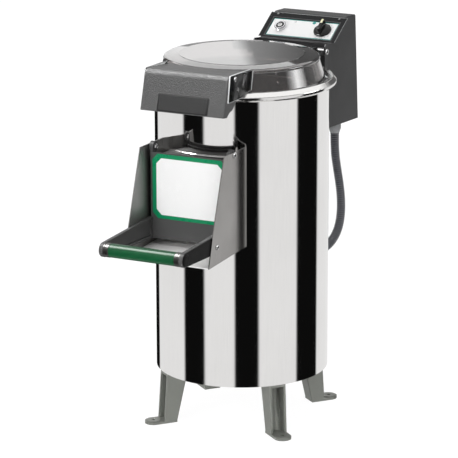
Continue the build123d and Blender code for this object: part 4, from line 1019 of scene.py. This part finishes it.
@dataclass
class ControlPanel:
    """The sloping panel: its printed label, timer knob, push button and screws."""

    half_y: float = 29.3 * MM
    facing_x: float = 100 * MM
    facing_y: Point2 = (-38 * MM, 48 * MM)
    surface: float = -1.5 * MM
    knob_r: float = 21.5 * MM
    knob_base: float = -1.1 * MM
    dial_r: float = 26.2 * MM
    dial_from: float = 107.0
    dial_step: float = 36.5
    numbers: str = "0123456"
    dot: Point2 = (22.2 * MM, 23.6 * MM)
    mark: Point2 = (-26.5 * MM, 22.6 * MM)
    screws: tuple[Point2, ...] = ((-80.7 * MM, 43 * MM), (80.7 * MM, 43 * MM))
    cover_screws: tuple[Point2, ...] = tuple((x * MM, y * MM) for x in (-86, 86) for y in (-112, 0, 112))
    rating: Point2 = (30 * MM, 62 * MM)
    rating_half: Point2 = (32 * MM, 21 * MM)
    rivet_half: Point2 = (28 * MM, 17 * MM)

    def __post_init__(self) -> None:
        """Finds the panel's plane from the timer's joint, and the button's middle."""
        turn = next(each for each in frame["joints"] if each["name"] == "timer_turn")
        self.normal = -Vector(turn["axis"])
        self.knob_at = Vector(turn["pos_m"])
        low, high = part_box("push_button")
        self.button_x = (low.x + high.x) / 2

    def place(self, x: float = 0.0, y: float = 0.0, depth: float = 0.0) -> Matrix:
        """A place on the panel: x to the right, y up the slope, depth out of the panel."""
        return facing((0, self.knob_at.y, self.knob_at.z), self.normal) @ at(x, y, depth)

    def build(self) -> None:
        """Makes the facing, the label, the knob, the button and the fixings."""
        self.facing_plate()
        self.label()
        self.dial()
        self.knob()
        self.button()
        self.fixings()

    def facing_plate(self) -> None:
        """The glossy black facing round the label, with a painted highlight along its side and top edges."""
        outer_x, (low, high) = self.facing_x, self.facing_y
        hole_x, hole_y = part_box("panel_plate")[1].x + 0.3 * MM, self.half_y + 4.8 * MM
        bars, thick = Form(), 0.5 * MM
        for size, centre in (((2 * outer_x, high - hole_y), (0, (high + hole_y) / 2)),
                             ((2 * outer_x, -low - hole_y), (0, (low - hole_y) / 2)),
                             ((outer_x - hole_x, 2 * hole_y), ((outer_x + hole_x) / 2, 0)),
                             ((outer_x - hole_x, 2 * hole_y), (-(outer_x + hole_x) / 2, 0))):
            bars.block((*size, thick), (*centre, thick / 2))
        bars.placed(self.place()).piece("panel_facing", PANEL_PAINT)
        # Pale strips along the facing's sides and top: painted highlight of the edge catching the light.
        edges, width, height = Form(), 0.9 * MM, 0.7 * MM
        for side in SIDES:
            edges.block((width, high - low, height), (side * outer_x, (high + low) / 2, height / 2))
        edges.block((2 * outer_x, width, height), (0, high, height / 2))
        edges.bevelled(0.2 * MM, 2).placed(self.place()).piece("facing_edge_highlight", PAINTED_EDGE_HIGHLIGHT)

    def label(self) -> None:
        """The bare white film and its teal lines and dot."""
        half_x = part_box("panel_label")[1].x
        film = Form().block((2 * half_x, 2 * self.half_y, 0.5 * MM), (0, 0, self.surface - 0.25 * MM))
        film.placed(self.place()).piece("panel_film", LABEL_FILM, Body.MACHINE, ["panel_label"])
        lines, height = Form(), self.surface + PROUD / 2
        for side in SIDES:
            lines.block((2 * half_x, 2.0 * MM, PROUD), (0, side * (self.half_y - 1.0 * MM), height))
            lines.block((1.1 * MM, 2 * self.half_y - 4 * MM, PROUD), (side * (half_x - 0.55 * MM), 0, height))
        spot = Form().turned([(0, 0), (4.3 * MM, 0), (4.3 * MM, PROUD * 1.4), (0, PROUD * 1.4)], steps=32)
        lines.joined(spot.placed(at(*self.dot, self.surface)))
        lines.placed(self.place()).piece("panel_lines", TEAL_INK)

    def dial(self) -> None:
        """The timer's numbers and ticks, and the small ring mark over the button."""
        dial = self.ring(2.3 * MM, 1.6 * MM).placed(at(*self.mark, self.surface))
        for turn, text in enumerate(self.numbers):
            dial.joined(words(text, 4.2 * MM).placed(self.round_knob(turn)))
        tick = Form().block((0.5 * MM, 1.3 * MM, PROUD), (0, 0, PROUD / 2))
        halves = [turn + 0.5 for turn in range(len(self.numbers) - 1)]
        tick.repeated(self.round_knob(turn) @ turn_z(self.dial_from - self.dial_step * turn - 90) for turn in halves)
        dial.joined(tick).placed(self.place()).piece("dial_numbers", GREY_INK)

    def round_knob(self, turn: float) -> Matrix:
        """A place on the film at one of the dial's numbers, or between two."""
        way = radians(self.dial_from - self.dial_step * turn)
        return at(self.knob_at.x + self.dial_r * cos(way), self.dial_r * sin(way), self.surface)

    @staticmethod
    def ring(outer: float, inner: float, height: float = PROUD) -> Form:
        """A flat printed ring."""
        return Form().turned([(inner, 0), (outer, 0), (outer, height), (inner, height)], steps=36, closed=True)

    def knob(self) -> None:
        """The timer's round knob with its grip bar and pale pointer."""
        shares = ((0.97, 0), (1.0, 1.0), (1.0, 3.2), (0.97, 4.4), (0.90, 5.2), (0.86, 5.0), (0.80, 6.6), (0.62, 8.6),
                  (0.4, 9.4), (0, 9.6))
        skirt = Form().turned([(0, self.knob_base), *((self.knob_r * share, self.knob_base + height * MM)
                                                      for share, height in shares)], steps=72)
        bar_z = 13 * MM
        bar = Form().block((10 * MM, 34 * MM, 17.5 * MM), (0, 0, bar_z))
        for corner in bar.bm.verts:
            if corner.co.z > bar_z:
                corner.co.x *= 0.82
        spindle = Form().turned(mm((0, -24), (3, -24), (3, 0), (0, 0)), steps=20)
        whole = skirt.joined(bar.bevelled(2.0 * MM, 3), spindle).placed(self.place(self.knob_at.x))
        whole.piece("knob_body", BLACK_PLASTIC, Body.TIMER, ["timer_knob"])
        pointer = Form().block((5.6 * MM, 13 * MM, 4 * MM), (0, 9.8 * MM, 20.2 * MM)).bevelled(0.6 * MM, 2)
        pointer.placed(self.place(self.knob_at.x)).piece("knob_pointer", POINTER, Body.TIMER)

    def button(self) -> None:
        """The push button in its stepped chrome bezel, whose grooves are painted black as shade."""
        place = self.place(self.button_x)
        bezel = Form().turned(mm(
            (9.6, -24), (11, -24), (11, -1.5), (14.4, -1.5), (14.4, 0.2), (13.7, 0.6), (13.7, 1.4), (14.4, 1.8),
            (14.4, 3.4), (13.7, 3.8), (13.7, 4.6), (14.2, 5.0), (14.2, 6.4), (13.2, 7.4), (10.9, 7.6), (9.6, 6.4)),
            steps=64, closed=True)
        # The bezel's two groove bottoms take black plastic: painted shade in the grooves.
        bezel.marked(lambda face: 13.5 * MM < off_axis(face) < 13.8 * MM).placed(place)
        bezel.piece("bezel_ring", SATIN_CHROME, Body.MACHINE, ["button_bezel"], more=[BLACK_PLASTIC])
        cap = Form().turned(mm((0, -14), (9.2, -14), (9.2, 6.4), (8.5, 7.2), (6.7, 7.2), (6.2, 6.6), (0, 6.6)),
                            steps=56)
        cap.placed(place).piece("button_top", BUTTON_CAP, Body.BUTTON, ["push_button"])
        disc = Form().turned(mm((0, 6.5), (5.6, 6.5), (5.4, 7.0), (0, 7.1)), steps=40)
        disc.placed(place).piece("button_disc", LABEL_FILM, Body.BUTTON)
        sign = self.ring(3.6 * MM, 2.7 * MM, 0.2 * MM)
        sign.block((0.9 * MM, 3.2 * MM, 0.2 * MM), (0, 0, 0.1 * MM)).placed(self.place(self.button_x, 0, 7.0 * MM))
        sign.piece("button_sign", BUTTON_CAP, Body.BUTTON)

    def fixings(self) -> None:
        """The box's screws, and the bare rating plate riveted to the back cover."""
        places = [self.place(*screw) for screw in self.screws] + [on_cover(*screw) for screw in self.cover_screws]
        screws = pin(3.2, 1.6, 1.5, 1.7, 3.3).repeated(places)
        screws.piece("box_screw_heads", BLACK_OXIDE, Body.MACHINE, ["box_screws"], more=[BRIGHT_SCREW])
        plate = Form().plate(oblong(*self.rating_half), 0.6 * MM, 3 * MM, 0.15 * MM)
        plate.placed(on_cover(*self.rating)).piece("rating_plate", SATIN_SHEET)
        (x, y), (half_x, half_y) = self.rating, self.rivet_half
        rivets = dome(1.7, 0.8).repeated(
            on_cover(x + i * half_x, y + j * half_y) @ at(z=0.55 * MM) for i in SIDES for j in SIDES)
        rivets.piece("plate_rivets", BRIGHT_SCREW)


# ---------------------------------------------------------------- drive and plumbing

@dataclass
class Drive:
    """The motor's cooling fins."""

    motor_y: float = 118 * MM
    motor_z: float = 275 * MM
    motor_r: float = 64 * MM
    fin: Triple = (7 * MM, 2.4 * MM, 128 * MM)
    fins: int = 24

    def build(self) -> None:
        """Makes the fins round the motor's housing."""
        fin = Form().block(self.fin, (self.motor_r + 1.5 * MM, 0, self.motor_z)).bevelled(0.6 * MM, 2)
        turns = (at(y=self.motor_y) @ turn_z(360 * k / self.fins) for k in range(self.fins))
        fin.repeated(turns).piece("motor_fins", MOTOR_PAINT)


@dataclass
class Plumbing:
    """The water valve's coil and threads, and the barbs on the drain."""

    inlet: Point2 = (-122 * MM, 700 * MM)
    coil_y: float = 204.5 * MM
    coil_rise: float = 35 * MM
    coil: Triple = (29 * MM, 33 * MM, 28 * MM)
    tab_x: float = 5 * MM
    tab_rise: float = 52 * MM
    tab: Triple = (0.9 * MM, 6.3 * MM, 9 * MM)
    thread_bore: float = 12 * MM
    thread_r: Point2 = (13.1 * MM, 13.9 * MM)
    thread_y: float = 221.5 * MM
    thread_pitch: float = 0.9 * MM
    nut_y: float = 184 * MM
    nut_r: float = 15 * MM
    drain: Point2 = (-60 * MM, 424 * MM)
    spigot_r: float = 20 * MM
    barbs: tuple[float, ...] = (220 * MM, 229 * MM, 238 * MM)

    def build(self) -> None:
        """Makes the valve's fittings and the drain's barbs."""
        x, z = self.inlet
        coil = Form().block(self.coil, (x, self.coil_y, z + self.coil_rise)).bevelled(2.4 * MM, 3)
        coil.piece("valve_coil", BLACK_PLASTIC)
        tabs = Form()
        for side in SIDES:
            tabs.block(self.tab, (x + side * self.tab_x, self.coil_y, z + self.tab_rise))
        tabs.bevelled(0.25 * MM, 1).piece("valve_tabs", BRIGHT_SCREW)
        crests = [(self.thread_r[k % 2], k * self.thread_pitch) for k in range(16)]
        thread = Form().turned([(self.thread_bore, 0), *crests, (self.thread_bore, 13.5 * MM)], steps=40, closed=True)
        thread.placed(facing((x, self.thread_y, z), (0, 1, 0)))
        nut = Form().cone(6, self.nut_r, self.nut_r, 8 * MM)
        nut.bevelled(0.8 * MM, 2).placed(facing((x, self.nut_y, z), (0, 1, 0)))
        thread.joined(nut).piece("valve_threads", BRASS)
        root, crest = self.spigot_r - 0.4 * MM, self.spigot_r + 1.3 * MM
        barb = Form().turned([(root, 0), (crest, 0.8 * MM), (crest, 1.4 * MM), (root, 5.6 * MM)], steps=48, closed=True)
        barb.repeated(facing((self.drain[0], y, self.drain[1]), (0, 1, 0)) for y in self.barbs)
        barb.piece("drain_barbs", BRUSHED_STEEL)


# ---------------------------------------------------------------- studio

TARGET = (-0.02673, -0.01370, 0.44084)


@dataclass(frozen=True)
class Lamp:
    """A rectangular soft light.

    Attributes:
        name: The light's name.
        place: Where it stands.
        size: Its width and height.
        power: Its power in watts.
        toward: What it looks at.
        mirrored: True if polished surfaces show it.
        lights: True if it also lights matt surfaces.
        spread: How wide its beam is, in degrees.
    """

    name: str
    place: Triple
    size: Point2
    power: float
    toward: Triple = TARGET
    mirrored: bool = False
    lights: bool = True
    spread: float = 180

    def build(self) -> None:
        """Sets up the light."""
        data = bpy.data.lights.new(self.name, "AREA")
        data.spread = radians(self.spread)
        data.shape, data.size, data.size_y, data.energy = "RECTANGLE", *self.size, self.power
        made = linked(self.name, data)
        made.location = self.place
        made.rotation_mode = "QUATERNION"
        made.rotation_quaternion = (Vector(self.toward) - Vector(self.place)).to_track_quat("-Z", "Y")
        made.visible_camera = False
        made.visible_glossy = self.mirrored
        made.visible_diffuse = self.lights


LAMPS = (
    Lamp("key_light", (-0.9, -4.2, 1.9), (1.8, 1.8), 100.0),
    Lamp("low_light", (2.6, -3.2, 0.6), (1.2, 1.2), 20.0),
    Lamp("leg_light", (1.6, -3.0, 0.25), (0.5, 0.3), 1.2, (0.1, -0.1, -0.05), spread=28),
    Lamp("overhead_box", (-1.3, -0.8, 3.1), (1.4, 1.4), 170.0, (0, -0.265, 0.86), mirrored=True, lights=False),
)


@dataclass
class Studio:
    """The camera, the lights, the white surroundings and the floor."""

    azimuth: float = 27.144
    elevation: float = 14.845
    roll: float = -0.127
    distance: float = 6.4387
    lens: float = 218.36
    fill_low: float = 0.52
    fill_high: float = 0.17
    zenith: float = 2.6
    screen_black: float = 0.004
    screen_white: float = 0.84
    sky: float = 1.08
    dusk: float = 0.42
    haze: float = 0.10
    window: float = 6.0
    ceiling: float = 1.8
    dark_bands: tuple[Point2, ...] = ((-180, -149), (-82, -53), (-8.5, 20.5), (79, 117))
    soft_edge: float = 3.0
    wall_lean: float = -0.4
    wall_split: float = -0.074
    split_width: float = 0.005

    def camera(self) -> None:
        """The camera at its viewing angle."""
        data = bpy.data.cameras.new("camera")
        data.lens, data.sensor_width = self.lens, 36.0
        made = linked("camera", data)
        a, e = radians(self.azimuth), radians(self.elevation)
        back = Vector((sin(a) * cos(e), -cos(a) * cos(e), sin(e)))
        made.rotation_mode = "QUATERNION"
        made.location = Vector(TARGET) + back * self.distance
        look = (-back).to_track_quat("-Z", "Y")
        made.rotation_quaternion = look @ Matrix.Rotation(radians(self.roll), 4, "Z").to_quaternion()
        bpy.context.scene.camera = made

    def world(self) -> None:
        """White surroundings; polished metal also sees dark screens standing round it."""
        world = bpy.data.worlds.new("studio")
        bpy.context.scene.world = world
        world.use_nodes = True
        graph = Graph(world.node_tree)
        way = graph.put("TexCoord").outputs["Generated"]
        a = radians(self.azimuth)
        ahead, right = (graph.put("VectorMath", {0: way, 1: axis}, operation="DOT_PRODUCT").outputs["Value"]
                        for axis in ((sin(a), -cos(a), 0), (cos(a), sin(a), 0)))
        around = graph.math("ARCTAN2", right, ahead)
        height = graph.put("SeparateXYZ", {0: way}).outputs["Z"]
        screens = graph.ramp(graph.math("MULTIPLY_ADD", around, 1 / tau, 0.5), self.screen_stops())
        shown = graph.mix(graph.between(height, -0.08, 0.02), screens,
                          self.high_sky(graph, height, around, right, ahead))
        fill = graph.math("ADD", graph.between(height, -0.3, 0.5, self.fill_low, self.fill_high),
                          graph.between(height, 0.80, 0.95, 0, self.zenith))
        plain = graph.mix(graph.straight_on(), fill, opaque(1.0))
        mirrored = graph.put("LightPath").outputs["Is Glossy Ray"]
        graph.fill(graph.tree.nodes["Background"], {"Color": graph.mix(mirrored, plain, shown)})

    def screen_stops(self) -> list[Point2]:
        """Where the dark screens begin and end round the object, as stops of a ramp."""
        black, white, soft = self.screen_black, self.screen_white, self.soft_edge
        edges = [(angle, grey) for start, end in self.dark_bands
                 for angle, grey in ((start - soft, white), (start, black), (end, black), (end + soft, white))]
        return sorted(((angle + 180) / 360, grey) for angle, grey in edges if -180 <= angle <= 180)

    def high_sky(self, graph: Graph, height: Socket, around: Socket, right: Socket, ahead: Socket) -> Socket:
        """What polished and clear surfaces see above the screens.

        Args:
            graph: The world's graph.
            height: Height of the direction.
            around: Its angle about Z, 0 on the camera's side.
            right: How far it points to the right.
            ahead: How far it points to the camera's side.

        Returns:
            The brightness. Polished surfaces see a bright sky, a brighter window beside the object and, behind it,
            a wall that is bright on the left and dark on the right. Clear ones look out on a bright ceiling that
            is dark to the right, with haze below it.
        """
        between, times = graph.between, graph.times
        # Through clear things: a bright ceiling over haze, dark in one sector to the right.
        sector = times(between(around, radians(48), radians(58)), between(around, radians(157), radians(148)))
        outlook = times(between(height, 0.38, 0.50, self.haze, self.ceiling), between(sector, 0, 1, 1, 0.05))
        # In polished things, on the right: a low bright window.
        beside = times(between(ahead, -0.22, 0.06, 0, self.window), between(ahead, 0.38, 0.12))
        beside = times(times(beside, graph.math("GREATER_THAN", right, 0.0)), between(height, 0.34, 0.22))
        # In polished things, behind: a wall that a leaning line splits into bright and dark.
        lean = graph.math("MULTIPLY_ADD", height, self.wall_lean, right)
        split = (self.wall_split, self.wall_split + self.split_width)
        left_wall = times(between(right, -0.40, -0.34, 0, self.sky), between(lean, *reversed(split)))
        right_wall = times(between(lean, *split), between(right, 0.008, 0.03, 0.38, 0.12))
        behind = times(between(ahead, -0.70, -0.76), between(height, 0.48, 0.42))
        open_sky = graph.math("ADD", beside, between(height, 0.36, 0.48, self.dusk, self.sky))
        mirrored = graph.blend(behind, open_sky, graph.math("ADD", left_wall, right_wall))
        return graph.blend(graph.put("LightPath").outputs["Is Transmission Ray"], mirrored, outlook)

    def floor(self) -> None:
        """A pale floor that keeps the object's soft shadow."""
        bm = bmesh.new()
        bmesh.ops.create_grid(bm, x_segments=1, y_segments=1, size=20.0)
        mesh = bpy.data.meshes.new("floor")
        bm.to_mesh(mesh)
        bm.free()
        made = linked("floor", mesh)
        made.visible_glossy = False
        material = bpy.data.materials.new("pale_floor")
        material.use_nodes = True
        graph = Graph(material.node_tree)
        nodes = graph.tree.nodes
        nodes.remove(nodes["Principled BSDF"])
        matt = graph.put("BsdfDiffuse", {"Color": opaque(0.8)})
        glow = graph.put("Emission", {"Color": opaque(1.0), "Strength": 1.12})
        share = graph.times(graph.straight_on(), 0.86)
        both = graph.put("MixShader", {0: share, 1: matt.outputs[0], 2: glow.outputs[0]})
        graph.fill(nodes["Material Output"], {"Surface": both.outputs[0]})
        mesh.materials.append(material)

    def build(self) -> None:
        """Sets up the whole studio."""
        self.camera()
        self.world()
        self.floor()
        for lamp in LAMPS:
            lamp.build()
        bpy.context.scene.view_settings.view_transform = "Standard"


def main() -> None:
    """Builds the peeler's looks in order."""
    logging.basicConfig(level=logging.INFO, format="%(message)s")
    Studio().build()
    Conduit().build()
    dress_nodes()
    for part in (Drum(), Door(), Lid(), ControlPanel(), Drive(), Plumbing()):
        part.build()


if __name__ == "__main__":
    main()
